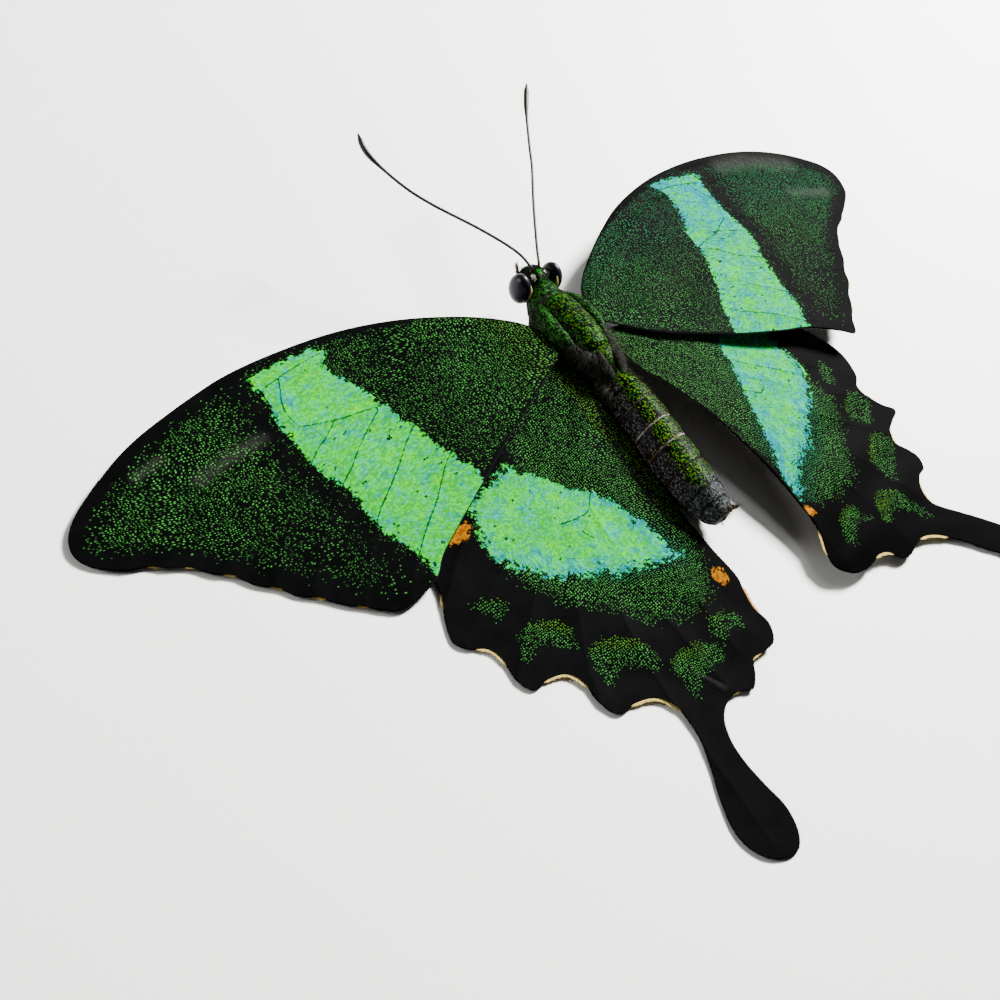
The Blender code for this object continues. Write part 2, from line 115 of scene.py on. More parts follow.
# The green band of each wing: its outer edge from the costa inwards, then its inner edge back
BANDS = {
    "forewing_left": [
        (27.5, 12.2), (27.6, 10.1), (27.6, 8.8), (28.2, 6.4), (28.0, 5.1), (28.0, 2.0), (27.4, -0.3),
        (26.5, -2.9), (26.6, -5.5), (26.4, -7.5), (25.5, -9.6), (25.0, -11.5), (24.2, -13.3), (15.7, -9.3),
        (15.9, -7.8), (16.2, -6.1), (16.9, -4.0), (17.5, -1.8), (17.7, 0.3), (18.7, 1.3), (18.5, 2.3),
        (19.3, 4.5), (19.9, 6.8), (21.2, 9.6), (20.5, 11.9),
    ],
    "forewing_right": [
        (27.8, 12.2), (27.9, 10.0), (27.7, 8.5), (27.6, 4.4), (27.7, 1.0), (26.5, -1.1), (26.2, -2.8),
        (25.4, -6.0), (25.4, -7.6), (24.8, -9.0), (23.7, -10.4), (23.6, -12.6), (14.4, -10.2), (14.4, -7.8),
        (15.0, -6.5), (15.4, -5.2), (17.0, -2.7), (18.4, -0.1), (19.2, 1.5), (19.7, 4.2), (20.2, 5.9),
        (21.4, 7.6), (21.7, 10.0), (21.6, 11.6), (21.0, 12.5),
    ],
    "hindwing_left": [
        (12.6, -8.9), (14.0, -9.5), (15.5, -9.9), (17.5, -10.1), (17.1, -11.1), (17.7, -11.8),
        (18.3, -12.8), (18.5, -14.6), (17.9, -16.1), (16.5, -17.2), (15.6, -18.7), (13.5, -20.0),
        (12.3, -20.8), (10.8, -21.5), (10.5, -22.3), (8.0, -23.0), (5.0, -23.9), (3.6, -24.1), (4.1, -22.2),
        (4.4, -21.0), (4.6, -19.9), (5.5, -17.6), (5.8, -16.4), (7.1, -14.6), (8.5, -13.3), (9.7, -11.6),
        (10.9, -10.1), (11.7, -9.6),
    ],
    "hindwing_right": [
        (13.8, -4.5), (19.5, -6.6), (19.6, -9.8), (19.6, -12.3), (19.6, -13.8), (17.5, -16.4),
        (14.9, -19.0), (12.9, -21.0), (11.1, -22.2), (9.4, -22.7), (7.1, -24.7), (5.5, -26.1), (5.7, -24.4),
        (5.8, -23.2), (6.6, -21.3), (7.8, -18.9), (8.1, -17.9), (8.8, -16.5), (9.4, -14.9), (9.8, -13.7),
        (10.3, -12.5), (11.2, -10.8), (11.8, -9.6), (12.0, -8.2), (13.1, -6.3),
    ],
}

# The fine green dusting of the hindwings: its outer limit, then back along the costa and the inner margin
DUSTED = {
    "hindwing_left": [
        (12.9, -8.3), (19.1, -12.1), (19.5, -14.3), (19.7, -16.1), (19.2, -17.6), (18.5, -19.3),
        (17.4, -21.1), (16.8, -22.5), (15.5, -23.4), (13.9, -24.9), (12.6, -26.2), (11.4, -27.8),
        (9.7, -28.5), (7.8, -29.5), (6.5, -29.6), (4.7, -29.4), (3.2, -29.0), (2.5, -27.8), (1.9, -26.7),
        (1.4, -25.3), (0.9, -23.6), (0.0, -21.0), (-1.0, -17.9), (-1.5, -11.9), (-1.7, -5.9), (-0.6, 0.0),
        (3.9, -1.0), (7.6, -3.0), (10.6, -5.6),
    ],
    "hindwing_right": [
        (13.6, -3.6), (20.0, -7.3), (20.5, -12.8), (21.1, -16.4), (21.0, -18.4), (19.2, -21.2),
        (16.3, -24.9), (14.4, -26.9), (10.4, -27.6), (7.4, -27.1), (6.0, -26.2), (5.3, -22.0), (4.5, -18.6),
        (3.0, -14.1), (1.6, -11.8), (0.4, -8.6), (-1.2, -5.7), (-0.6, 0.4), (3.6, 0.4), (8.5, -1.2),
    ],
}

# The lunules along the hindwings' margins
LUNULES = {
    "hindwing_left": [
        [(24.1, -17.9), (23.1, -17.6), (22.1, -17.8), (20.9, -18.8), (21.1, -19.9), (22.1, -20.4),
         (22.8, -20.7), (22.7, -19.8), (23.3, -18.9)],
        [(22.0, -22.1), (21.0, -21.8), (20.0, -21.8), (18.1, -22.7), (17.4, -23.5), (17.5, -24.7),
         (17.8, -25.6), (18.4, -25.9), (19.4, -25.3), (20.5, -24.2), (21.7, -24.3), (22.7, -24.8),
         (23.0, -24.2), (22.5, -22.9)],
        [(17.6, -26.7), (16.7, -26.3), (15.7, -26.4), (14.4, -26.9), (13.3, -27.8), (12.6, -28.9),
         (12.4, -30.4), (12.6, -31.5), (13.8, -31.2), (14.8, -30.2), (16.1, -29.6), (17.3, -30.3),
         (18.1, -30.2), (18.3, -29.4), (18.0, -27.8)],
        [(11.8, -31.5), (10.6, -31.0), (8.8, -31.2), (7.5, -31.8), (6.8, -32.8), (7.1, -33.9), (8.6, -34.0),
         (9.8, -34.2), (11.1, -34.9), (12.1, -35.8), (12.2, -34.2), (12.2, -32.9)],
        [(5.8, -30.2), (4.9, -30.1), (3.6, -30.6), (3.0, -31.4), (3.1, -32.4), (3.5, -32.9), (4.3, -32.2),
         (5.3, -32.4), (6.4, -33.3), (6.5, -32.5), (6.5, -31.3)],
    ],
    "hindwing_right": [
        [(22.6, -14.0), (23.9, -13.6), (24.4, -14.7), (23.7, -15.4), (23.1, -16.7), (21.9, -16.6),
         (21.8, -15.4)],
        [(21.1, -19.4), (22.1, -18.8), (23.3, -18.1), (24.4, -18.5), (25.2, -20.3), (23.8, -21.6),
         (22.4, -22.6), (21.2, -21.8), (20.6, -20.6)],
        [(21.2, -23.4), (22.3, -23.7), (23.1, -25.4), (21.5, -27.1), (20.0, -28.1), (19.2, -29.5),
         (18.3, -28.5), (18.0, -26.7), (18.7, -25.0)],
        [(14.8, -29.0), (16.7, -28.9), (18.2, -30.0), (18.6, -31.4), (19.3, -32.8), (19.7, -34.1),
         (18.2, -33.5), (17.4, -32.3), (15.8, -31.3), (14.2, -32.3), (13.3, -31.7), (13.6, -30.5)],
        [(8.7, -28.9), (10.5, -28.4), (11.5, -28.8), (11.7, -29.8), (12.7, -31.0), (11.0, -30.6),
         (9.4, -31.0), (8.3, -32.0), (7.5, -31.6), (7.6, -30.6)],
    ],
}

# Orange spots
ORANGE_SPOTS = {
    "forewing_left": [],
    "forewing_right": [],
    "hindwing_left": [
        [(21.6, -12.3), (20.3, -12.4), (19.2, -11.9), (18.9, -11.2), (20.1, -10.7), (21.4, -11.3)],
        [(2.1, -26.8), (1.3, -27.1), (1.1, -27.8), (1.6, -28.6), (2.3, -28.3), (2.4, -27.5)],
    ],
    "hindwing_right": [
        [(4.9, -26.1), (5.7, -26.4), (6.3, -27.0), (6.1, -27.5), (5.1, -27.4), (4.7, -26.7)],
    ],
}

# Veins that cross the band as dark lines
BAND_VEINS = {
    "forewing_left": [
        [(19.2, 3.6), (21.3, 4.0), (23.2, 4.3), (25.0, 4.8), (26.7, 5.4), (26.9, 6.2), (27.0, 6.9),
         (26.9, 7.7), (26.5, 8.8), (25.7, 10.3), (25.5, 10.8)],
        [(20.5, 11.4), (23.1, 11.2), (25.3, 10.9), (27.8, 10.4)],
        [(23.6, 4.5), (25.5, 3.2), (27.2, 2.3), (31.3, -1.0), (37.1, -6.3)],
        [(19.7, 3.3), (21.7, 2.1), (23.6, 0.8), (25.4, -0.6), (26.7, -1.4), (30.8, -4.7), (35.0, -8.8)],
        [(13.9, 1.5), (16.1, 0.9), (17.9, 0.2), (19.7, -1.0), (21.2, -2.2), (23.1, -3.6), (24.6, -4.6),
         (26.3, -5.9), (31.8, -11.5)],
        [(7.9, -0.9), (12.9, -2.1), (16.9, -4.0), (18.9, -5.5), (20.7, -7.1), (22.4, -8.3), (24.1, -9.6),
         (28.2, -13.1)],
    ],
    "forewing_right": [
        [(18.4, 2.7), (20.0, 3.1), (21.6, 3.5), (23.4, 3.8), (25.0, 4.6), (26.4, 5.3), (26.9, 6.3),
         (27.5, 8.1), (26.6, 9.6), (26.0, 11.0)],
        [(21.0, 11.6), (24.9, 11.4), (27.5, 10.9)],
        [(23.1, 4.1), (25.4, 3.4), (27.7, 2.7), (32.0, 0.0), (38.8, -4.1)],
        [(19.6, 2.7), (21.9, 1.6), (23.9, 0.1), (26.3, -1.1), (31.0, -4.6), (36.6, -6.4)],
        [(14.0, 1.0), (18.1, -0.7), (20.3, -2.4), (22.1, -4.1), (25.2, -6.2), (32.6, -10.6)],
        [(8.0, -2.2), (14.4, -4.4), (18.0, -6.6), (22.0, -9.0), (27.2, -12.8)],
    ],
    "hindwing_left": [
        [(7.0, -14.5), (7.6, -15.1), (8.6, -16.0), (10.2, -16.0), (11.7, -15.7)],
        [(10.3, -17.3), (10.2, -17.8), (9.9, -18.4)],
    ],
    "hindwing_right": [
        [(9.4, -12.9), (10.6, -13.5), (11.8, -14.2), (12.8, -13.7)],
        [(12.1, -9.4), (14.5, -11.3), (17.6, -13.3)],
    ],
}

# Veins and folds that show only as low relief
RELIEF_VEINS = {
    "forewing": [
        [(1.2, 1.4), (6.0, 6.6), (12.0, 9.9), (18.0, 11.7), (24.0, 12.7), (30.5, 12.9)],
        [(1.2, 1.0), (6.0, 4.6), (12.0, 7.7), (17.0, 9.6), (22.0, 10.6), (25.7, 10.6)],
        [(1.2, 0.6), (6.0, 1.4), (12.0, 2.0), (19.0, 3.1)],
        [(28.0, 10.2), (34.0, 9.2), (41.0, 7.0), (48.2, 4.4)],
        [(26.7, 8.6), (32.0, 8.0), (39.0, 5.2), (46.6, 1.0)],
        [(27.2, 6.8), (32.0, 5.4), (38.0, 2.4), (44.2, -0.6)],
        [(26.9, 5.2), (31.0, 3.2), (36.0, -0.6), (40.8, -3.4)],
        [(1.2, 0.0), (5.0, -0.8), (8.0, -1.2)],
    ],
    "hindwing": [
        [(0.8, -1.8), (6.0, -4.0), (12.0, -7.4), (18.0, -11.0), (22.5, -14.0), (25.6, -16.6)],
        [(1.0, -2.4), (5.0, -5.6), (8.6, -9.6), (11.3, -13.2), (12.3, -15.6)],
        [(8.6, -9.6), (13.0, -12.4), (19.0, -16.4), (26.4, -20.2)],
        [(12.3, -15.6), (16.0, -18.4), (20.5, -21.9), (24.5, -25.4)],
        [(10.6, -16.1), (14.0, -20.5), (17.4, -25.8), (19.8, -31.0)],
        [(9.0, -16.1), (11.0, -21.0), (13.2, -28.0), (14.2, -34.5), (14.8, -41.0), (15.4, -48.0)],
        [(8.0, -15.2), (8.6, -20.0), (9.2, -28.0), (8.8, -36.2)],
        [(0.8, -3.0), (2.6, -7.0), (5.0, -11.0), (7.4, -14.6)],
        [(5.0, -11.0), (5.2, -16.0), (5.2, -24.0), (5.6, -34.0)],
    ],
}

# Fine creases without scales, beside the body
CREASES = {
    "hindwing_left": [
        [(-0.7, -5.0), (0.7, -8.7), (1.5, -11.3), (1.9, -13.8), (2.3, -16.6), (2.4, -20.1), (1.9, -21.8)],
    ],
    "hindwing_right": [],
}

# Fringe of pale scales in the hollows of the margins: points along it, its width, and how orange it is
FRINGES = {
    "forewing_left": [
        ([(45.1, 0.4), (44.4, 0.1), (43.7, -0.4)], 0.22, 0.2),
        ([(42.5, -1.1), (41.6, -1.9)], 0.22, 0.2),
        ([(40.3, -3.2), (39.7, -3.7), (39.1, -4.3)], 0.25, 0.2),
        ([(37.8, -6.2), (36.5, -7.3)], 0.25, 0.3),
        ([(35.4, -8.8), (34.7, -9.3), (34.0, -9.9)], 0.3, 0.4),
        ([(32.7, -11.4), (31.5, -12.4)], 0.3, 0.5),
    ],
    "forewing_right": [
        ([(45.4, 0.6), (44.6, 0.2)], 0.22, 0.2),
        ([(42.4, -1.0), (41.4, -1.7)], 0.22, 0.2),
        ([(39.6, -3.4), (38.7, -4.5)], 0.25, 0.3),
        ([(35.8, -7.7), (34.6, -8.9)], 0.3, 0.4),
        ([(32.4, -11.1), (31.3, -12.0)], 0.3, 0.5),
    ],
    "hindwing_left": [
        ([(25.1, -15.2), (25.5, -16.1), (26.1, -17.1)], 0.3, 0.2),
        ([(26.1, -21.0), (25.0, -21.6), (24.5, -22.7), (24.4, -24.2)], 0.45, 0.05),
        ([(23.0, -26.8), (21.7, -26.7), (20.4, -27.3), (19.8, -28.5), (19.7, -29.6)], 0.45, 0.1),
        ([(17.9, -32.4), (16.7, -32.5), (15.2, -33.1), (14.3, -34.4), (14.1, -35.6)], 0.5, 0.15),
        ([(9.1, -37.0), (7.9, -36.9)], 0.25, 0.2),
        ([(5.1, -35.7), (4.3, -35.4), (3.5, -35.4)], 0.35, 0.3),
        ([(1.1, -33.0), (1.2, -31.8), (0.9, -30.4), (0.6, -29.2)], 0.5, 0.8),
    ],
    "hindwing_right": [
        ([(25.9, -17.6), (25.3, -18.6), (25.6, -19.7)], 0.35, 0.2),
        ([(24.6, -23.8), (23.6, -24.7), (23.3, -25.6), (23.7, -26.3)], 0.4, 0.1),
        ([(21.9, -30.1), (21.0, -31.2), (20.7, -32.5), (21.2, -33.4)], 0.4, 0.1),
        ([(19.5, -36.7), (18.1, -35.7), (16.6, -35.0), (15.6, -35.1)], 0.5, 0.15),
        ([(11.9, -34.9), (10.9, -34.1), (9.8, -33.9), (9.0, -34.0)], 0.5, 0.15),
        ([(4.3, -31.6), (4.5, -30.6), (5.0, -29.5), (5.3, -28.6)], 0.5, 0.35),
    ],
}

# Grey streaks on the black membrane; those on the forewings' outer parts are painted sheen
GREY_STREAKS = {
    "forewing_left": [
        ([(37.0, 5.2), (33.2, 5.9), (30.4, 6.1)], 0.55),
        ([(41.4, 8.0), (38.8, 8.6)], 0.4),
    ],
    "forewing_right": [
        ([(44.0, 9.6), (38.0, 11.6), (33.0, 12.0)], 0.9),
        ([(46.0, 4.2), (40.0, 5.4)], 0.6),
    ],
    "hindwing_left": [
        ([(9.1, -36.0), (10.3, -33.6)], 0.12),
    ],
    "hindwing_right": [],
}

WING_STEP = 0.28
WING_EDGE_STEP = 0.25
WING_TOP_LIFT = 0.10
WING_UNDER_LIFT = -0.03

# Body sections, front to back: y, x of the middle, half width, underside z, top z
THORAX_SECTIONS = [
    (5.5, 0.0, 0.9, 3.2, 5.3), (5.1, 0.0, 1.7, 2.0, 5.9), (4.2, 0.0, 2.4, 0.8, 6.3), (2.8, 0.0, 2.7, 0.1, 6.6),
    (1.0, 0.0, 2.75, -0.2, 6.7), (-0.8, 0.0, 2.7, -0.25, 6.6), (-2.4, 0.0, 2.4, -0.1, 6.2),
    (-3.8, 0.1, 1.9, 0.4, 5.8), (-4.8, 0.2, 1.4, 1.0, 5.3), (-5.4, 0.3, 0.9, 1.7, 4.7),
]
HEAD_SECTIONS = [
    (9.0, 0.2, 0.4, 4.2, 5.2), (8.7, 0.2, 0.9, 3.6, 5.9), (8.0, 0.2, 1.15, 3.1, 6.5), (7.1, 0.2, 1.2, 2.9, 6.8),
    (6.4, 0.1, 1.15, 3.1, 6.4), (5.9, 0.1, 0.8, 3.6, 5.6),
]
ABDOMEN_SECTIONS = [
    (-5.8, 0.3, 1.1, 1.5, 4.6), (-7.2, 0.3, 1.9, 0.5, 5.2), (-9.5, 0.1, 2.2, 0.0, 5.4),
    (-12.0, -0.1, 2.3, -0.15, 5.3), (-14.5, -0.35, 2.4, -0.15, 5.1), (-17.0, -0.55, 2.4, -0.1, 4.9),
    (-19.2, -0.7, 2.2, 0.2, 4.7), (-21.0, -0.8, 1.9, 0.6, 4.4), (-22.4, -0.85, 1.5, 1.1, 4.0),
    (-23.3, -0.9, 0.9, 1.7, 3.5),
]
RIMS = [-7.6, -9.7, -12.35, -14.75, -17.6, -20.2, -21.8]
BODY_SIDES = 72

EYES = {
    "eye_left": (LEFT, (-1.75, 7.2, 4.85)),
    "eye_right": (RIGHT, (2.3, 7.0, 4.95)),
}
EYE_RADII = (0.9, 1.35, 1.7)

ANTENNA_ROUTES = {
    "antenna_left": [
        (-0.35, 7.5, 6.3), (-0.5, 7.9, 6.85), (-0.9, 10.0, 7.25), (-3.1, 13.3, 8.1), (-6.6, 17.4, 9.3), (-8.3, 20.4, 10.0),
        (-9.5, 24.2, 10.9), (-9.1, 26.6, 11.4),
    ],
    "antenna_right": [
        (0.35, 7.4, 6.2), (0.6, 7.8, 6.85), (1.7, 9.6, 7.3), (4.3, 13.6, 8.35), (6.9, 17.3, 9.3), (8.4, 19.7, 9.8),
        (10.7, 23.3, 10.7), (13.0, 26.3, 11.4),
    ],
}
PALP_ROUTES = {
    "palp_left": [(-0.1, 8.7, 3.4), (-0.3, 9.1, 4.5), (-0.5, 9.5, 5.6)],
    "palp_right": [(0.8, 9.0, 3.2), (0.9, 9.4, 3.8), (0.85, 9.5, 4.4)],
}
LEG_ROUTES = {
    "front": [(1.9, 4.7, 0.9), (3.1, 6.7, 0.9), (2.5, 3.6, 0.6), (3.5, 1.2, 0.35)],
    "middle": [(3.3, 1.7, 0.9), (5.2, 3.0, 0.8), (4.3, -0.8, 0.5), (4.5, -3.9, 0.35)],
    "hind": [(3.0, -1.9, 0.8), (5.0, -2.5, 0.7), (3.5, -4.6, 0.5), (3.0, -6.4, 0.35)],
}

thorax_low, thorax_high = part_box("thorax")
ORIGIN = np.array([(thorax_low.x + thorax_high.x) / 2, thorax_high.y - THORAX_FRONT * MM, 0.0])


def placed(points):
    """Turns millimetres in the butterfly's own frame into metres in the part's frame."""
    return np.asarray(points, float) * MM + ORIGIN


def smoothstep(low, high, value):
    """Rises smoothly from 0 at low to 1 at high."""
    t = np.clip((value - low) / (high - low), 0.0, 1.0)
    return t * t * (3 - 2 * t)


def smooth_through(points, steps, closed):
    """Samples a curve through the points, with the same number of steps between each pair."""
    points = np.asarray(points, float)
    count = len(points)
    spans = count if closed else count - 1
    result = []
    for index in range(spans):
        if closed:
            before, start, end, after = [points[(index + shift) % count] for shift in (-1, 0, 1, 2)]
        else:
            before, start, end, after = [points[min(max(index + shift, 0), count - 1)] for shift in (-1, 0, 1, 2)]
        for step in range(steps):
            t = step / steps
            result.append(0.5 * (2 * start + (end - before) * t
                                 + (2 * before - 5 * start + 4 * end - after) * t * t
                                 + (3 * start - before - 3 * end + after) * t ** 3))
    if not closed:
        result.append(points[-1])
    return np.array(result)


def even_steps(points, spacing, closed):
    """Walks along a smooth curve through the points in even steps of about the spacing."""
    dense = smooth_through(points, 24, closed)
    if closed:
        dense = np.vstack([dense, dense[:1]])
    lengths = np.linalg.norm(np.diff(dense, axis=0), axis=1)
    walked = np.concatenate([[0.0], np.cumsum(lengths)])
    count = max(round(walked[-1] / spacing), 2)
    targets = np.linspace(0.0, walked[-1], count + 1)
    if closed:
        targets = targets[:-1]
    return np.column_stack([np.interp(targets, walked, dense[:, axis]) for axis in range(dense.shape[1])])


def distance_to_line(points, line, closed=False):
    """Returns each flat point's distance to a line of short straight pieces."""
    ends = np.roll(line, -1, axis=0) if closed else line[1:]
    nearest = np.full(len(points), 1e9)
    for start, end in zip(line, ends):
        edge = end - start
        t = np.clip((points - start) @ edge / max(edge @ edge, 1e-12), 0.0, 1.0)
        gap = points - start - t[:, None] * edge
        nearest = np.minimum(nearest, np.hypot(gap[:, 0], gap[:, 1]))
    return nearest


def signed_distance(points, outline):
    """Returns each flat point's distance to a closed outline, positive inside it."""
    inside = np.zeros(len(points), bool)
    for start, end in zip(outline, np.roll(outline, -1, axis=0)):
        crosses = (start[1] > points[:, 1]) != (end[1] > points[:, 1])
        rise = end[1] - start[1] if abs(end[1] - start[1]) > 1e-12 else 1e-12
        reach = start[0] + (points[:, 1] - start[1]) / rise * (end[0] - start[0])
        inside ^= crosses & (points[:, 0] < reach)
    return np.where(inside, 1.0, -1.0) * distance_to_line(points, outline, closed=True)


def waves(points, length, seed):
    """Returns a soft, uneven ripple from about -1 to 1, with swells of about the given length."""
    random = np.random.default_rng(seed)
    total = np.zeros(len(points))
    for _ in range(9):
        angle = random.uniform(0, 2 * math.pi)
        pace = 2 * math.pi / length * random.uniform(0.6, 1.6)
        total += np.sin(points[:, 0] * math.cos(angle) * pace + points[:, 1] * math.sin(angle) * pace
                        + random.uniform(0, 2 * math.pi))
    return total / 3.0


def wing_point(pose, flat, lift):
    """Places flat wing points (u out, v forward) in space, lifted off the wing's middle surface."""
    side, hinge, droop, pitch, bends = pose
    u = flat[:, 0]
    v = flat[:, 1]
    w = bends[0] * u * u + bends[1] * u * v + bends[2] * v * v
    w += bends[3] * u * v * v + bends[4] * v * v * v + lift
    down = math.radians(droop)
    nose = math.radians(pitch)
    x = math.cos(down) * u + math.sin(down) * w
    z = -math.sin(down) * u + math.cos(down) * w
    y = math.cos(nose) * v - math.sin(nose) * z
    z = math.sin(nose) * v + math.cos(nose) * z
    return np.column_stack([side * (x + hinge[0]), y + hinge[1], z + hinge[2]])


def make_piece(name, points, faces, materials, face_materials=None, attributes=None, sharp=None, colours=None):
    """Makes a mesh object from points in millimetres, smooth shaded, with values kept at its points."""
    mesh = bpy.data.meshes.new(name)
    mesh.from_pydata(placed(points).tolist(), [], [tuple(int(i) for i in face) for face in faces])
    for material in materials:
        mesh.materials.append(material)
    if face_materials is not None:
        mesh.polygons.foreach_set("material_index", np.asarray(face_materials, np.int32))
    for key, values in (attributes or {}).items():
        values = np.asarray(values, np.float32)
        kind = "FLOAT_VECTOR" if values.ndim == 2 else "FLOAT"
        field = "vector" if values.ndim == 2 else "value"
        mesh.attributes.new(key, kind, "POINT").data.foreach_set(field, values.ravel())
    if colours is not None:
        layer = mesh.attributes.new("tone", "FLOAT_COLOR", "POINT")
        layer.data.foreach_set("color", np.asarray(colours, np.float32).ravel())
    mesh.shade_smooth()
    if sharp is not None:
        mesh.set_sharp_from_angle(angle=math.radians(sharp))
    mesh.validate()
    piece = bpy.data.objects.new(name, mesh)
    bpy.context.scene.collection.objects.link(piece)
    return piece


def settle(piece, slot, *nodes):
    """Makes a piece ride on the body and lets it stand for its nodes. The slot is not used."""
    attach(piece, "root")
    if nodes:
        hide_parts(*nodes)
    return piece


class Shader:
    """Builds a material's nodes with short calls. Lengths are in millimetres."""

    def __init__(self, name, roughness):
        self.material = bpy.data.materials.new(name)
        self.material.use_nodes = True
        self.tree = self.material.node_tree
        self.surface = self.tree.nodes["Principled BSDF"]
        self.surface.inputs["Roughness"].default_value = roughness
        self.surface.inputs["Metallic"].default_value = 0.0

    def add(self, kind, **settings):
        node = self.tree.nodes.new(kind)
        for key, value in settings.items():
            setattr(node, key, value)
        return node

    def feed(self, socket, value):
        if isinstance(value, bpy.types.NodeSocket):
            self.tree.links.new(value, socket)
        else:
            socket.default_value = value

    def attribute(self, name, output="Fac"):
        return self.add("ShaderNodeAttribute", attribute_name=name).outputs[output]

    def place(self):
        """The point's place in millimetres."""
        scale = self.add("ShaderNodeVectorMath", operation="SCALE")
        self.feed(scale.inputs[0], self.add("ShaderNodeTexCoord").outputs["Object"])
        scale.inputs["Scale"].default_value = 1 / MM
        return scale.outputs[0]

    def math(self, operation, *values):
        node = self.add("ShaderNodeMath", operation=operation)
        for socket, value in zip(node.inputs, values):
            self.feed(socket, value)
        return node.outputs[0]

    def stretch(self, vector, factors):
        node = self.add("ShaderNodeVectorMath", operation="MULTIPLY")
        self.feed(node.inputs[0], vector)
        node.inputs[1].default_value = factors
        return node.outputs[0]

    def ramp(self, value, low, high, bottom=0.0, top=1.0):
        """Rises smoothly from bottom at low to top at high."""
        node = self.add("ShaderNodeMapRange", interpolation_type="SMOOTHSTEP")
        for socket, number in zip(node.inputs[:5], (value, low, high, bottom, top)):
            self.feed(socket, number)
        return node.outputs[0]

    def mix(self, first, second, share):
        node = self.add("ShaderNodeMix", data_type="RGBA", clamp_factor=True)
        self.feed(node.inputs[0], share)
        self.feed(node.inputs[6], first)
        self.feed(node.inputs[7], second)
        return node.outputs[2]

    def brighten(self, colour, factor):
        node = self.add("ShaderNodeVectorMath", operation="SCALE")
        self.feed(node.inputs[0], colour)
        self.feed(node.inputs["Scale"], factor)
        return node.outputs[0]

    def noise(self, vector, scale, detail=2.0):
        node = self.add("ShaderNodeTexNoise")
        self.feed(node.inputs["Vector"], vector)
        node.inputs["Scale"].default_value = scale
        node.inputs["Detail"].default_value = detail
        return node.outputs[0]

    def cells(self, vector, randomness):
        """Returns the distance to the nearest cell's middle, and three random numbers for that cell."""
        node = self.add("ShaderNodeTexVoronoi", voronoi_dimensions="2D")
        self.feed(node.inputs["Vector"], vector)
        node.inputs["Scale"].default_value = 1.0
        node.inputs["Randomness"].default_value = randomness
        split = self.add("ShaderNodeSeparateColor")
        self.feed(split.inputs[0], node.outputs["Color"])
        return node.outputs["Distance"], split.outputs[0], split.outputs[1], split.outputs[2]

    def colours(self, value, stops):
        """Blends through colours, given as places from 0 to 1 and colours."""
        node = self.add("ShaderNodeValToRGB")
        ramp = node.color_ramp
        ramp.elements[0].position, ramp.elements[0].color = stops[0]
        ramp.elements[1].position, ramp.elements[1].color = stops[-1]
        for position, colour in stops[1:-1]:
            ramp.elements.new(position).color = colour
        self.feed(node.inputs[0], value)
        return node.outputs[0]

    def bump(self, height, distance, strength=1.0):
        node = self.add("ShaderNodeBump")
        node.inputs["Strength"].default_value = strength
        node.inputs["Distance"].default_value = distance * MM
        self.feed(node.inputs["Height"], height)
        self.feed(self.surface.inputs["Normal"], node.outputs[0])

    def finish(self, colour, roughness=None):
        self.feed(self.surface.inputs["Base Color"], colour)
        if roughness is not None:
            self.feed(self.surface.inputs["Roughness"], roughness)
        return self.material


# Size of one wing scale's cell, along the wing and across it, and how irregularly the scales are set
SCALE_CELLS = {"forewing": (0.30, 0.20), "hindwing": (0.235, 0.225)}
SCALE_DISORDER = {"forewing": 0.68, "hindwing": 0.52}

# Where the hindwing bands dissolve inwards: side, depth, and the v between which it begins
BAND_FADES = {"hindwing_left": (-0.9, 1.0, -19.0, -24.0), "hindwing_right": (1.0, 1.3, -15.0, -21.0)}

# How bright each wing's band, dusting and black membrane are: painted light and shade, lighter on the left wings and
# darker on the right ones
WING_PAINTED_LIGHT = {
    "forewing_left": (1.08, 1.10, 2.6), "forewing_right": (0.90, 0.80, 0.3),
    "hindwing_left": (1.10, 1.05, 2.4), "hindwing_right": (0.90, 0.85, 0.3),
}


def lattice_of(shader, flat, kind):
    """Returns cells of one scale each, laid in rows that wander a little."""
    wander = shader.add("ShaderNodeTexNoise")
    shader.feed(wander.inputs["Vector"], flat)
    wander.inputs["Scale"].default_value = 0.09
    shifted = shader.add("ShaderNodeVectorMath", operation="MULTIPLY_ADD")
    shader.feed(shifted.inputs[0], wander.outputs["Color"])
    shifted.inputs[1].default_value = (5.0, 5.0, 0.0)
    shader.feed(shifted.inputs[2], flat)
    along, across = SCALE_CELLS[kind]
    return shader.stretch(shifted.outputs[0], (1 / along, 1 / across, 0.0))


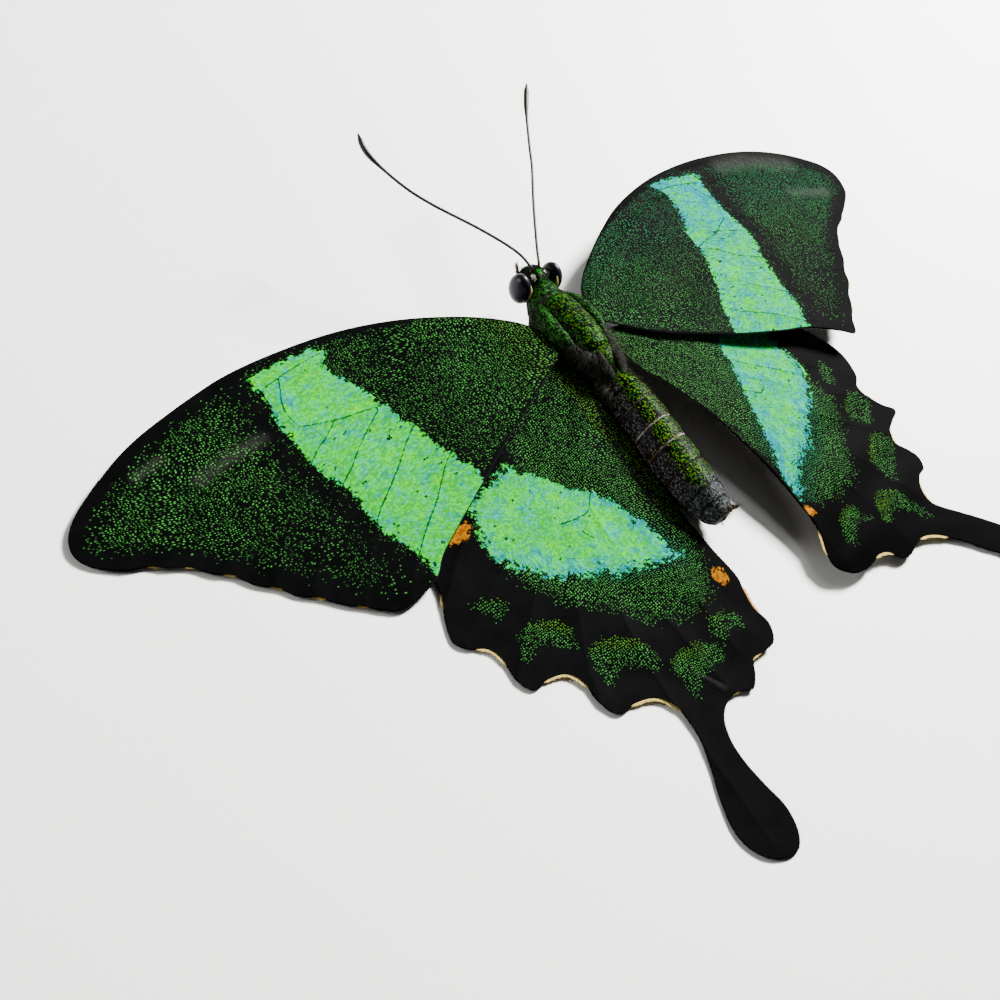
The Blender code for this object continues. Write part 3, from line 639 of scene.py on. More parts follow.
def wing_top_material(name):
    """Black membrane with single green scales: packed in the band, scattered where it is dusted."""
    kind = name.split("_")[0]
    # Each wing's band, dusting and black membrane are brightened or darkened as painted light and shade
    band_painted_light, dust_painted_light, soot_painted_light = WING_PAINTED_LIGHT[name]
    shader = Shader(name + " top", 0.55)
    shader.surface.inputs["Specular IOR Level"].default_value = 0.004
    flat = shader.attribute("flat", "Vector")
    tint = shader.attribute("tint")
    dust = shader.attribute("dust")
    middle, first, second, third = shader.cells(lattice_of(shader, flat, kind), SCALE_DISORDER[kind])
    clouds = shader.noise(flat, 0.55, 4.0)

    # Each scale grows from a dot to a full tile as the band closes in, unevenly
    torn = shader.math("MULTIPLY", shader.math("SUBTRACT", shader.noise(flat, 1.1, 4.0), 0.5), 0.9)
    ragged = shader.math("MULTIPLY_ADD", shader.math("SUBTRACT", first, 0.5), 0.5, torn)
    even_cover = shader.attribute("cover")
    cover = shader.math("ADD", even_cover, ragged)
    in_band = shader.math("MULTIPLY", shader.ramp(cover, 0.35, 0.75), shader.math("LESS_THAN", third, 0.993))
    dot_radius = shader.math("MULTIPLY_ADD", first, 0.11, 0.175)
    radius = shader.math("MULTIPLY_ADD", in_band, 0.75, dot_radius)
    dense = shader.math("MAXIMUM", dust, shader.ramp(even_cover, 0.05, 0.5))
    present = shader.math("LESS_THAN", second, dense)
    dot = shader.math("MULTIPLY", present, shader.ramp(shader.math("SUBTRACT", radius, middle), -0.06, 0.06))

    # Band: its hue drifts in patches and differs a little from scale to scale
    drift = shader.math("MULTIPLY_ADD", shader.math("SUBTRACT", clouds, 0.5), 1.35, tint)
    hue = shader.math("MULTIPLY_ADD", shader.math("SUBTRACT", second, 0.5), 0.55, drift)
    band_colour = shader.colours(hue, [
        (0.0, (0.040, 0.36, 0.001, 1.0)), (0.3, (0.004, 0.33, 0.014, 1.0)), (0.52, (0.0, 0.30, 0.045, 1.0)),
        (0.75, (0.0, 0.22, 0.120, 1.0)), (1.0, (0.0, 0.15, 0.17, 1.0)),
    ])
    seams = shader.ramp(middle, 0.35, 0.75, 1.0, 0.68)
    # The band is brightened or darkened per wing as painted light and shade
    band_colour = shader.brighten(band_colour, shader.math("MULTIPLY", shader.ramp(third, 0.0, 1.0, 0.72 * band_painted_light, 1.18 * band_painted_light), seams))

    # Dusting: single scales, from bright to barely lit
    dimmest = {"forewing": 0.12, "hindwing": 0.35}[kind]
    lit = shader.ramp(third, 0.0, 1.0, dimmest, 1.0)
    dust_colour = shader.mix((0.0030, 0.014, 0.0024, 1.0), (0.030, 0.150, 0.025, 1.0), lit)
    dust_colour = shader.mix(dust_colour, (0.004, 0.072, 0.028, 1.0), shader.ramp(tint, 0.5, 0.9, 0.0, 0.8))
    dust_colour = shader.mix(dust_colour, (0.040, 0.10, 0.0010, 1.0), shader.ramp(tint, 0.36, 0.05, 0.0, 0.85))
    dust_colour = shader.brighten(dust_colour, shader.ramp(clouds, 0.3, 0.7, 0.75, 1.2))
    # The dusting is brightened or darkened per wing as painted light and shade
    dust_colour = shader.brighten(dust_colour, shader.ramp(dust, 0.6, 1.0, 0.97 * dust_painted_light, 1.38 * dust_painted_light))

    soot = shader.mix((0.0002, 0.0002, 0.0002, 1.0), (0.0010, 0.0010, 0.0011, 1.0), shader.noise(flat, 0.5, 5.0))
    halo = shader.math("MULTIPLY", shader.math("MULTIPLY", dense, 0.7), shader.ramp(middle, 0.75, 0.25))
    # The black membrane is lightened on the left wings and darkened on the right ones as painted light and shade
    soot = shader.mix(shader.brighten(soot, soot_painted_light), (0.0001, 0.0020, 0.0002, 1.0), halo)
    # Grey streaks on the black membrane, painted sheen on the forewings
    streaked = shader.math("MULTIPLY", shader.attribute("grey_streak"), shader.noise(flat, 1.4, 5.0))
    soot = shader.mix(soot, (0.022, 0.021, 0.019, 1.0), streaked)
    colour = shader.mix(soot, shader.mix(dust_colour, band_colour, shader.ramp(in_band, 0.0, 0.6)), dot)
    orange = shader.mix((0.11, 0.028, 0.0003, 1.0), (0.26, 0.095, 0.001, 1.0), shader.math(
        "MULTIPLY_ADD", clouds, 0.4, third))
    spot = shader.math("MULTIPLY_ADD", shader.math("SUBTRACT", first, 0.5), 0.5, shader.attribute("orange"))
    colour = shader.mix(colour, orange, shader.ramp(spot, -0.02, 0.12))
    line = shader.math("MULTIPLY_ADD", shader.math("SUBTRACT", third, 0.5), 0.06, shader.attribute("vein"))
    line = shader.math("MULTIPLY", shader.ramp(line, 0.03, 0.09, 0.8, 0.0), shader.ramp(cover, 0.2, 0.6))
    colour = shader.mix(colour, (0.0004, 0.004, 0.0006, 1.0), line)
    shader.bump(shader.ramp(middle, 0.1, 0.7, 1.0, 0.0), 0.02, 0.35)
    return shader.finish(colour)


def wing_under_material(kind):
    """Dull brown underside, paler towards the middle, with scattered buff scales and marginal spots."""
    shader = Shader(kind + " under", 0.6)
    shader.surface.inputs["Specular IOR Level"].default_value = 0.08
    flat = shader.attribute("flat", "Vector")
    middle, first, second, third = shader.cells(lattice_of(shader, flat, kind), 0.62)
    clouds = shader.noise(flat, 0.25, 3.0)
    brown = shader.mix((0.0020, 0.0013, 0.0009, 1.0), (0.010, 0.007, 0.0045, 1.0), clouds)
    pale = shader.ramp(shader.attribute("band"), -3.0, 0.5, 0.06, 0.6)
    scale = shader.math("MULTIPLY", shader.math("LESS_THAN", second, pale), shader.ramp(middle, 0.6, 0.4))
    colour = shader.mix(brown, (0.07, 0.052, 0.032, 1.0), scale)
    colour = shader.mix(colour, (0.20, 0.065, 0.010, 1.0), shader.math("MULTIPLY", shader.ramp(
        shader.math("ADD", shader.attribute("moon"), shader.math("MULTIPLY", first, 0.4)), 0.1, 0.3), 0.9))
    shader.bump(middle, 0.02, 0.5)
    return shader.finish(colour)


def band_cover(name, flat, band):
    """Returns how fully each point is covered by the band, from 0 to 1, fading out more softly on its far side."""
    split = int(np.argmin([point[1] for point in BANDS[name]])) + 1
    far = distance_to_line(flat, even_steps(BANDS[name][:split], 0.6, False))
    near = distance_to_line(flat, even_steps(BANDS[name][split:], 0.6, False))
    if name.startswith("forewing"):
        soft = np.full(len(flat), 0.6)
        fade = 0.0
    else:
        side, depth, first, last = BAND_FADES[name]
        fade = depth * smoothstep(first, last, flat[:, 1]) * smoothstep(-1.0, side, near - far)
        soft = 0.5 + 1.1 * smoothstep(-1.0, 1.0, near - far) + 0.4 * fade
    return np.clip((band - fade + soft) / (soft + 0.5), 0.0, 1.3)


def dusting(name, flat, rim, band):
    """Returns how thickly each point of a wing is dusted with single green scales, from 0 to 1."""
    if name.startswith("forewing"):
        outer = flat[:, 0] > 22.0 + 0.2 * flat[:, 1]
        border = 0.25 + 1.1 * smoothstep(7.0, 18.0, flat[:, 0])
        border = np.where(flat[:, 1] < 0, 0.2 + 0.5 * smoothstep(10.0, 17.0, flat[:, 0]), border)
        base = (0.72 + 0.25 * smoothstep(17.0, 5.0, flat[:, 0])) * smoothstep(0.3, 1.0, rim / border)
        apical = 0.86 * smoothstep(0.6, 2.6, rim) * smoothstep(-0.6, -4.2, band)
        apical *= 0.55 + 0.45 * smoothstep(-9.0, 3.0, flat[:, 1])
        spill = 0.55 * smoothstep(-1.4, 0.0, band)
        return np.clip(np.where(outer, apical + spill, base + 0.1 * spill), 0.0, 0.97)
    limit = signed_distance(flat, even_steps(DUSTED[name], 0.5, True))
    dust = (0.86 + 0.12 * smoothstep(-4.5, 0.0, band)) * smoothstep(-0.4, 1.5, limit)
    for crease in CREASES[name]:
        gap = distance_to_line(flat, even_steps(crease, 0.4, False))
        dust *= 1.0 - 0.95 * np.exp(-(gap / 0.22) ** 2)
    for lunule in LUNULES[name]:
        shape = even_steps(lunule, 0.3, True)
        inside = signed_distance(flat, shape)
        centre = shape.mean(axis=0)
        towards_base = -centre / np.linalg.norm(centre)
        rise = (flat - centre) @ towards_base
        dust = np.maximum(dust, (0.78 + 0.2 * smoothstep(-0.8, 1.6, rise)) * smoothstep(-0.2, 0.35, inside))
    return np.clip(dust, 0.0, 1.0)


def tinting(name, flat, band):
    """Returns the green's shift: low towards yellow-green, high towards blue."""
    u, v = flat.T
    # The right wings are bluer than the left ones: their iridescent sheen, painted into the hue
    if name == "forewing_right":
        tint = 0.60 + 0.24 * smoothstep(0.0, 9.0, v) + 0.1 * smoothstep(30.0, 44.0, u)
    elif name == "forewing_left":
        tint = 0.42 - 0.19 * smoothstep(10.0, 3.0, u)
    else:
        tint = 0.44 + 0.14 * smoothstep(1.6, 0.0, np.abs(band)) * (band > -0.8)
        # The right hindwing's extra blue is painted iridescent sheen
        tint += {"hindwing_left": 0.0, "hindwing_right": 0.16}[name] * smoothstep(-6.0, 1.0, band)
        tint += 0.22 * smoothstep(-14.0, -20.0, v) * smoothstep(2.6, 0.6, np.abs(band))
        body_side, yellow = {"hindwing_left": (2.6, 0.30), "hindwing_right": (4.8, 0.16)}[name]
        tint -= yellow * smoothstep(body_side + 1.5, body_side - 1.5, u) * smoothstep(-1.0, -3.0, band)
        for lunule in LUNULES[name]:
            centre = np.mean(lunule, axis=0)
            rise = (flat - centre) @ (-centre / np.linalg.norm(centre))
            near = np.hypot(*(flat - centre).T)
            tint = np.where(near < 3.2, 0.42 - 0.26 * smoothstep(0.2, 1.6, rise), tint)
    return tint


def build_wing(name, materials):
    """Makes one wing: upper and lower skin, with its veins raised and the membrane slightly slack between them."""
    kind = name.split("_")[0]
    pose = WING_POSES[name]
    outline = even_steps(WING_OUTLINES[name], WING_EDGE_STEP, True)
    dark_veins = [even_steps(vein, WING_STEP, False) for vein in BAND_VEINS[name]]
    low_veins = [even_steps(vein, WING_STEP, False) for vein in RELIEF_VEINS[kind]]
    low = outline.min(axis=0)
    high = outline.max(axis=0)
    row_step = WING_STEP * math.sqrt(0.75)
    rows = np.arange(math.ceil((high[1] - low[1]) / row_step))
    columns = np.arange(math.ceil((high[0] - low[0]) / WING_STEP) + 1)
    row, column = [grid.ravel() for grid in np.meshgrid(rows, columns, indexing="ij")]
    lattice = np.column_stack([low[0] + (column + 0.5 * (row % 2)) * WING_STEP, low[1] + row * row_step])
    lattice = lattice[signed_distance(lattice, outline) > 0.55 * WING_STEP]
    near_vein = np.full(len(lattice), 1e9)
    for vein in dark_veins:
        near_vein = np.minimum(near_vein, distance_to_line(lattice, vein))
    vein_points = np.vstack(dark_veins)
    vein_points = vein_points[signed_distance(vein_points, outline) > 0.3]
    flat = np.vstack([outline, lattice[near_vein > 0.45 * WING_STEP], vein_points])
    rim_loop = [list(range(len(outline)))]
    verts, _, faces, _, _, _ = delaunay_2d_cdt([Vector(point) for point in flat.tolist()], [], rim_loop, 1, 1e-6)
    flat = np.array([tuple(vert) for vert in verts])
    faces = np.array(faces)
    rim = np.maximum(signed_distance(flat, outline), 0.0)
    band = signed_distance(flat, even_steps(BANDS[name], 0.6, True))
    vein = np.full(len(flat), 3.0)
    ridge = np.full(len(flat), 3.0)
    for line in dark_veins:
        vein = np.minimum(vein, distance_to_line(flat, line))
    for line in low_veins + dark_veins:
        ridge = np.minimum(ridge, distance_to_line(flat, line))
    grey_streak = np.zeros(len(flat))
    for streak, width in GREY_STREAKS[name]:
        reach = distance_to_line(flat, even_steps(streak, 1.0, False))
        grey_streak = np.maximum(grey_streak, smoothstep(2.2 * width, 0.0, reach))
    orange = np.full(len(flat), -3.0)
    for spot in ORANGE_SPOTS[name]:
        orange = np.maximum(orange, signed_distance(flat, even_steps(spot, 0.3, True)))
    moon = np.full(len(flat), -3.0)
    for lunule in LUNULES.get(name, []):
        moon = np.maximum(moon, signed_distance(flat, even_steps(lunule, 0.4, True)))
    relief = 0.055 * np.exp(-(ridge / 0.16) ** 2) - 0.06 * smoothstep(0.0, 1.6, ridge)
    relief += 0.07 * waves(flat, 9.0, sum(map(ord, name))) * smoothstep(0.0, 3.0, rim)
    top = wing_point(pose, flat, WING_TOP_LIFT + relief)
    under = wing_point(pose, flat, WING_UNDER_LIFT + relief)
    count = len(flat)
    lower = faces[:, ::-1] + count
    edges = {}
    for face in faces.tolist():
        for i in range(3):
            start, end = face[i], face[(i + 1) % 3]
            if (end, start) in edges:
                del edges[(end, start)]
            else:
                edges[(start, end)] = True
    sides = [(end, start, start + count, end + count) for start, end in edges]
    all_faces = faces.tolist() + lower.tolist() + sides
    if pose[0] == LEFT:
        all_faces = [tuple(reversed(face)) for face in all_faces]
    under_side = [0] * len(faces) + [1] * len(faces) + [0] * len(sides)
    values = {
        "flat": np.column_stack([flat, np.zeros(count)]), "band": np.clip(band, -4.0, 4.0),
        "cover": band_cover(name, flat, band),
        "dust": dusting(name, flat, rim, band), "tint": tinting(name, flat, band), "vein": vein,
        "grey_streak": grey_streak, "orange": orange, "moon": moon,
    }
    values = {key: np.concatenate([field, field]) for key, field in values.items()}
    piece = make_piece(name + "_scaled", np.vstack([top, under]), all_faces, materials, under_side, values, sharp=50)
    return settle(piece, "wing_scales", name)


class Skin:
    """A body's skin, from sections front to back, swollen and sunk by a detail.

    A place on it is given by along, from 0 in front to 1 behind, and by an angle round from its right.
    """

    def __init__(self, sections, detail):
        self.table = smooth_through(sections, 12, False)
        self.steps = np.linspace(0.0, 1.0, len(self.table))
        self.detail = detail

    def spot(self, along, angle):
        y, x, half, low, high = [np.interp(along, self.steps, self.table[:, column]) for column in range(5)]
        rise = np.sin(angle)
        reach = np.cos(angle)
        offset = self.detail(y, half * reach, rise)
        z = (low + high) / 2 + ((high - low) / 2 + offset) * rise
        return np.column_stack([x + (half + offset) * reach, y, np.maximum(z, 0.0)])

    def facing(self, along, angle):
        """Returns the outward and the backward direction at places on the skin."""
        back = self.spot(np.minimum(along + 0.004, 1.0), angle) - self.spot(np.maximum(along - 0.004, 0.0), angle)
        round_it = self.spot(along, angle + 0.02) - self.spot(along, angle - 0.02)
        outward = np.cross(round_it, back)
        outward /= np.maximum(np.linalg.norm(outward, axis=1), 1e-9)[:, None]
        back /= np.maximum(np.linalg.norm(back, axis=1), 1e-9)[:, None]
        return outward, back

    def mesh(self, rings, sides):
        along, angle = np.meshgrid(np.linspace(0, 1, rings), np.linspace(0, 2 * math.pi, sides, False), indexing="ij")
        return self.spot(along.ravel(), angle.ravel()), ring_faces(rings, sides)

    def scatter(self, spacing, random):
        """Spreads places over the skin in a loose grid, about the spacing apart, rows running round it."""
        y_length = abs(self.table[-1][0] - self.table[0][0])
        rows = int(y_length / spacing[0])
        along = []
        angle = []
        for row in range(rows):
            here = (row + 0.5) / rows
            y, x, half, low, high = [np.interp(here, self.steps, self.table[:, column]) for column in range(5)]
            girth = math.pi * (half + (high - low) / 2)
            count = max(int(girth / spacing[1]), 6)
            angle.append((np.arange(count) + 0.5 * (row % 2) + random.uniform(-0.3, 0.3, count)) / count * 2 * math.pi)
            along.append(here + random.uniform(-0.35, 0.35, count) / rows)
        return np.clip(np.concatenate(along), 0.0, 1.0), np.concatenate(angle)


def ring_faces(rings, sides):
    """Joins rings of points, given in order, into a closed skin."""
    faces = []
    for ring in range(rings - 1):
        for step in range(sides):
            here = ring * sides + step
            beside = ring * sides + (step + 1) % sides
            faces.append((here, here + sides, beside + sides, beside))
    faces.append(tuple(range(sides)))
    faces.append(tuple(reversed(range((rings - 1) * sides, rings * sides))))
    return faces


def tube(route, radii, sides):
    """Returns points and faces of a closed tube along a route, with a radius at each of its points."""
    route = np.asarray(route, float)
    ways = np.gradient(route, axis=0)
    ways /= np.linalg.norm(ways, axis=1)[:, None]
    across = np.cross(ways[0], (0.0, 0.0, 1.0) if abs(ways[0][2]) < 0.9 else (1.0, 0.0, 0.0))
    turns = np.linspace(0, 2 * math.pi, sides, endpoint=False)
    points = []
    for spot, way, radius in zip(route, ways, radii):
        across = across - way * (across @ way)
        across /= np.linalg.norm(across)
        other = np.cross(across, way)
        points.append(spot + radius * (np.cos(turns)[:, None] * across + np.sin(turns)[:, None] * other))
    return np.vstack(points), ring_faces(len(route), sides)


def joined(parts):
    """Joins several (points, faces) pairs into one."""
    faces = []
    start = 0
    for points, part_faces in parts:
        faces += [tuple(int(index) + start for index in face) for face in part_faces]
        start += len(points)
    return np.vstack([points for points, _ in parts]), faces


def repeat_faces(pattern, size, count):
    """Repeats one small shape's faces for a number of such shapes, each with size points."""
    return [tuple(index + size * item for index in face) for item in range(count) for face in pattern]


def scale_tiles(spots, outward, back, length, width, lift):
    """Returns overlapping scales as thin closed wedges, their hind edges raised off the skin."""
    across = np.cross(outward, back)
    length, width, lift = [np.broadcast_to(size, len(spots))[:, None] for size in (length, width, lift)]
    front = spots - back * length * 0.4 - outward * 0.03
    rear = spots + back * length * 0.6
    corners = [
        front - across * width * 0.4, front + across * width * 0.4,
        rear - across * width * 0.5 + outward * lift, rear + across * width * 0.5 + outward * lift,
        rear - across * width * 0.5 - outward * 0.03, rear + across * width * 0.5 - outward * 0.03,
    ]
    points = np.stack(corners, axis=1).reshape(-1, 3)
    faces = repeat_faces([(0, 1, 3, 2), (1, 0, 4, 5), (2, 3, 5, 4), (0, 2, 4), (1, 5, 3)], 6, len(spots))
    return points, faces


def hairs(roots, ways, lengths, radius, sag):
    """Returns tapering hairs as thin closed spikes, bending down by the sag."""
    count = len(roots)
    across = np.cross(ways, (0.31, -0.52, 0.79))
    across /= np.linalg.norm(across, axis=1)[:, None]
    other = np.cross(ways, across)
    rings = []
    for step in range(4):
        t = step / 4
        middle = roots + ways * (lengths * t)[:, None]
        middle[:, 2] -= sag * lengths * t * t
        for turn in range(3):
            angle = 2 * math.pi * turn / 3
            rings.append(middle + radius * (1 - 0.7 * t) * (math.cos(angle) * across + math.sin(angle) * other))
    tip = roots + ways * lengths[:, None]
    tip[:, 2] -= sag * lengths
    rings.append(tip)
    points = np.stack(rings, axis=1).reshape(-1, 3)
    points[:, 2] = np.maximum(points[:, 2], 0.01)
    pattern = [(0, 2, 1)]
    for step in range(3):
        for turn in range(3):
            here = step * 3 + turn
            beside = step * 3 + (turn + 1) % 3
            pattern.append((here, beside, beside + 3, here + 3))
    pattern += [(9, 10, 12), (10, 11, 12), (11, 9, 12)]
    return points, repeat_faces(pattern, 13, count)


def toned(colours, random, spread, size):
    """Gives each small shape its colour, a little brighter or darker than asked, at all of its points."""
    colours = np.asarray(colours, float) * random.uniform(1 - spread, 1 + spread, len(colours))[:, None]
    return np.repeat(np.column_stack([colours, np.ones(len(colours))]), size, axis=0)


def bumps(value, places, width):
    """Returns 1 at each of the places and falls off within the width."""
    return sum(np.exp(-((value - place) / width) ** 2) for place in places)


def thorax_detail(y, x, rise):
    top = smoothstep(0.1, 0.5, rise)
    furrow = 0.5 * bumps(np.abs(x), [1.85], 0.28) * smoothstep(-2.9, -2.0, y) * smoothstep(3.4, 2.4, y)
    seam = bumps(x, [0.0], 0.12) * smoothstep(-2.4, -1.6, y) * smoothstep(4.0, 3.0, y)
    return top * (-0.30 * furrow - 0.28 * bumps(y, [-2.95], 0.22) - 0.22 * bumps(y, [4.35], 0.25)
                  - 0.07 * seam + 0.10 * bumps(y, [-3.8], 0.5))


def abdomen_detail(y, x, rise):
    swell = np.zeros(len(y))
    for front, rear in zip([-5.8] + RIMS, RIMS + [-23.3]):
        within = (y <= front) & (y > rear)
        share = (front - y) / (front - rear)
        swell = np.where(within, 0.12 * np.sin(math.pi * np.clip(share, 0, 1)) ** 0.6, swell)
    return swell - 0.10 * bumps(y, RIMS, 0.09) - 0.12 * bumps(rise, [-0.25], 0.1) * smoothstep(-22.5, -20.0, y)


def head_detail(y, x, rise):
    return -0.10 * bumps(x, [0.0], 0.25) * smoothstep(0.3, 0.8, rise)


def scale_material():
    """Body scales and hair: coloured one by one, slightly glossy."""
    shader = Shader("body scales", 0.5)
    shader.surface.inputs["Specular IOR Level"].default_value = 0.03
    return shader.finish(shader.attribute("tone", "Color"))


def hair_material():
    """Soft hair, coloured one by one."""
    shader = Shader("hair", 0.7)
    shader.surface.inputs["Specular IOR Level"].default_value = 0.04
    return shader.finish(shader.attribute("tone", "Color"))


def cuticle_material(name, dark, light, roughness, gloss=0.2):
    """Bare cuticle with a mottled colour and fine wrinkles."""
    shader = Shader(name, roughness)
    shader.surface.inputs["Specular IOR Level"].default_value = gloss
    place = shader.place()
    mottle = shader.noise(place, 1.6, 4.0)
    shader.bump(shader.noise(place, 9.0, 3.0), 0.05, 0.5)
    return shader.finish(shader.mix(dark, light, shader.ramp(mottle, 0.35, 0.7)))


def abdomen_material():
    """Dark cuticle with bare golden rims between the segments, silvered in patches as a painted highlight."""
    shader = Shader("abdomen cuticle", 0.45)
    shader.surface.inputs["Specular IOR Level"].default_value = 0.03
    place = shader.place()
    mottle = shader.noise(place, 1.3, 4.0)
    colour = shader.mix((0.0012, 0.0011, 0.0010, 1.0), (0.006, 0.006, 0.0055, 1.0), mottle)
    # Silvery patches on the golden rims: painted highlight
    silver_highlight = shader.ramp(shader.noise(place, 0.7, 2.0), 0.45, 0.62)
    rim = shader.mix((0.10, 0.050, 0.008, 1.0), (0.32, 0.29, 0.26, 1.0), silver_highlight)
    colour = shader.mix(colour, rim, shader.attribute("rim"))
    shader.bump(shader.noise(place, 7.0, 3.0), 0.04, 0.5)
    return shader.finish(colour)


def eye_material():
    """Dark glossy eye with fine facets."""
    shader = Shader("eye", 0.36)
    shader.surface.inputs["Specular IOR Level"].default_value = 0.14
    shader.surface.inputs["Coat Weight"].default_value = 0.03
    shader.surface.inputs["Coat Roughness"].default_value = 0.15
    place = shader.place()
    facets = shader.add("ShaderNodeTexVoronoi")
    shader.feed(facets.inputs["Vector"], place)
    facets.inputs["Scale"].default_value = 14.0
    facets.inputs["Randomness"].default_value = 0.4
    shader.bump(facets.outputs["Distance"], 0.01, 0.35)
    colour = shader.mix((0.0010, 0.0009, 0.0010, 1.0), (0.007, 0.008, 0.015, 1.0), shader.noise(place, 0.8, 2.0))
    return shader.finish(colour)


def pick(random, count, options, weights):
    """Picks one colour per item."""
    chosen = random.choice(len(options), count, p=np.asarray(weights) / sum(weights))
    return np.asarray(options, float)[chosen]


def thorax_colours(spots, random):
    """Yellow-green over the back, greener at the sides, dull below."""
    count = len(spots)
    x, y, z = spots.T
    back = pick(random, count, [(0.055, 0.12, 0.004), (0.026, 0.10, 0.003), (0.008, 0.085, 0.006),
                                (0.004, 0.012, 0.002), (0.0015, 0.004, 0.001)], [0.13, 0.19, 0.16, 0.25, 0.27])
    green = pick(random, count, [(0.020, 0.12, 0.012), (0.012, 0.075, 0.008), (0.006, 0.022, 0.005),
                                 (0.002, 0.005, 0.0015)], [0.2, 0.28, 0.27, 0.25])
    dull = pick(random, count, [(0.045, 0.040, 0.034), (0.018, 0.020, 0.013), (0.006, 0.006, 0.005)],
                [0.25, 0.35, 0.4])
    centre = smoothstep(2.1, 1.2, np.abs(x)) * smoothstep(4.6, 3.4, y) * smoothstep(4.6, 5.4, z)
    colours = np.where((random.uniform(size=count) < centre)[:, None], back, green)
    low = smoothstep(4.9, 3.8, z)
    return np.where((random.uniform(size=count) < low)[:, None], dull, colours)


def abdomen_colours(spots, cosine, rise, random):
    """Yellow-green dashes along the back, grey ones down the sides and over the tip; those on the right side darkened
    as painted shade.
    """
    count = len(spots)
    y = spots[:, 1]
    bright = pick(random, count, [(0.085, 0.16, 0.0005), (0.036, 0.13, 0.001), (0.006, 0.085, 0.004),
                                  (0.0010, 0.002, 0.001)], [0.18, 0.26, 0.12, 0.44])
    grey = pick(random, count, [(0.11, 0.10, 0.10), (0.045, 0.040, 0.038), (0.006, 0.006, 0.006)],
                [0.22, 0.33, 0.45])
    # Dashes on the right side are darkened as painted shade
    grey *= np.where(cosine > 0.3, 0.25, 1.0)[:, None]
    bright *= np.where(cosine > 0.1, 0.55, 1.0)[:, None]
    tip = pick(random, count, [(0.095, 0.098, 0.108), (0.040, 0.042, 0.048), (0.012, 0.045, 0.010),
                               (0.008, 0.008, 0.008)], [0.24, 0.38, 0.1, 0.28])
    under = pick(random, count, [(0.05, 0.045, 0.036), (0.016, 0.014, 0.011), (0.003, 0.003, 0.003)],
                 [0.25, 0.4, 0.35])
    green_share = smoothstep(0.74, 0.54, np.abs(cosine)) * smoothstep(0.0, 0.25, rise)
    colours = np.where((random.uniform(size=count) < green_share)[:, None], bright, grey)
    hind = smoothstep(-18.6, -20.4, y)
    colours = np.where((random.uniform(size=count) < hind)[:, None], tip, colours)
    low = smoothstep(-0.2, -0.5, rise)
    return np.where((random.uniform(size=count) < low)[:, None], under, colours)


def build_thorax(scales, cuticle):
    """The thorax with its two shoulder lobes, clad in scales."""
    random = np.random.default_rng(11)
    skin = Skin(THORAX_SECTIONS, thorax_detail)
    parts = [skin.mesh(100, BODY_SIDES)]
    neck = Skin([(6.7, 0.1, 0.9, 3.4, 5.7), (6.2, 0.1, 1.5, 2.7, 6.1), (5.6, 0.05, 1.85, 2.3, 6.2),
                 (4.9, 0.0, 2.05, 1.9, 6.1), (4.3, 0.0, 1.6, 2.4, 5.9)], lobe_detail)
    waist = Skin([(-4.4, 0.1, 1.3, 2.0, 5.2), (-5.0, 0.2, 1.5, 1.5, 5.1), (-5.6, 0.3, 1.5, 1.4, 4.9),
                  (-6.2, 0.3, 1.2, 2.0, 4.7)], lobe_detail)
    parts += [neck.mesh(24, 40), waist.mesh(24, 40)]
    lobes = []
    for side in (LEFT, RIGHT):
        lobe = Skin([(4.3, side * 1.90, 0.30, 4.3, 5.5), (3.4, side * 2.15, 0.75, 3.9, 5.85),
                     (2.2, side * 2.35, 0.95, 3.8, 5.95), (0.9, side * 2.45, 0.95, 3.8, 5.95),
                     (-0.5, side * 2.35, 0.75, 3.9, 5.8), (-1.6, side * 2.15, 0.30, 4.3, 5.4)], lobe_detail)
        lobes.append(lobe)
        parts.append(lobe.mesh(36, 32))
    points, faces = joined(parts)
    count_skin = len(points)
    skin_faces = len(faces)
    tiles = []
    tones = [np.tile((0.0016, 0.0024, 0.0010, 1.0), (count_skin, 1))]
    for body in [skin, neck, waist] + lobes:
        along, angle = body.scatter((0.17, 0.15), random)
        spots = body.spot(along, angle)
        outward, back = body.facing(along, angle)
        keep = spots[:, 2] > 0.15
        spots, outward, back = spots[keep], outward[keep], back[keep]
        size = random.uniform(0.8, 1.2, len(spots))
        tiles.append(scale_tiles(spots, outward, back, 0.27 * size, 0.13 * size, 0.05))
        tones.append(toned(thorax_colours(spots, random), random, 0.3, 6))
    points, faces = joined([(points, faces)] + tiles)
    materials = [0] * skin_faces + [1] * (len(faces) - skin_faces)
    piece = make_piece("thorax_scaled", points, faces, [cuticle, scales], materials,
                       colours=np.vstack(tones), sharp=60)
    settle(piece, "body_scales", "thorax")


def lobe_detail(y, x, rise):
    return np.zeros(len(y))


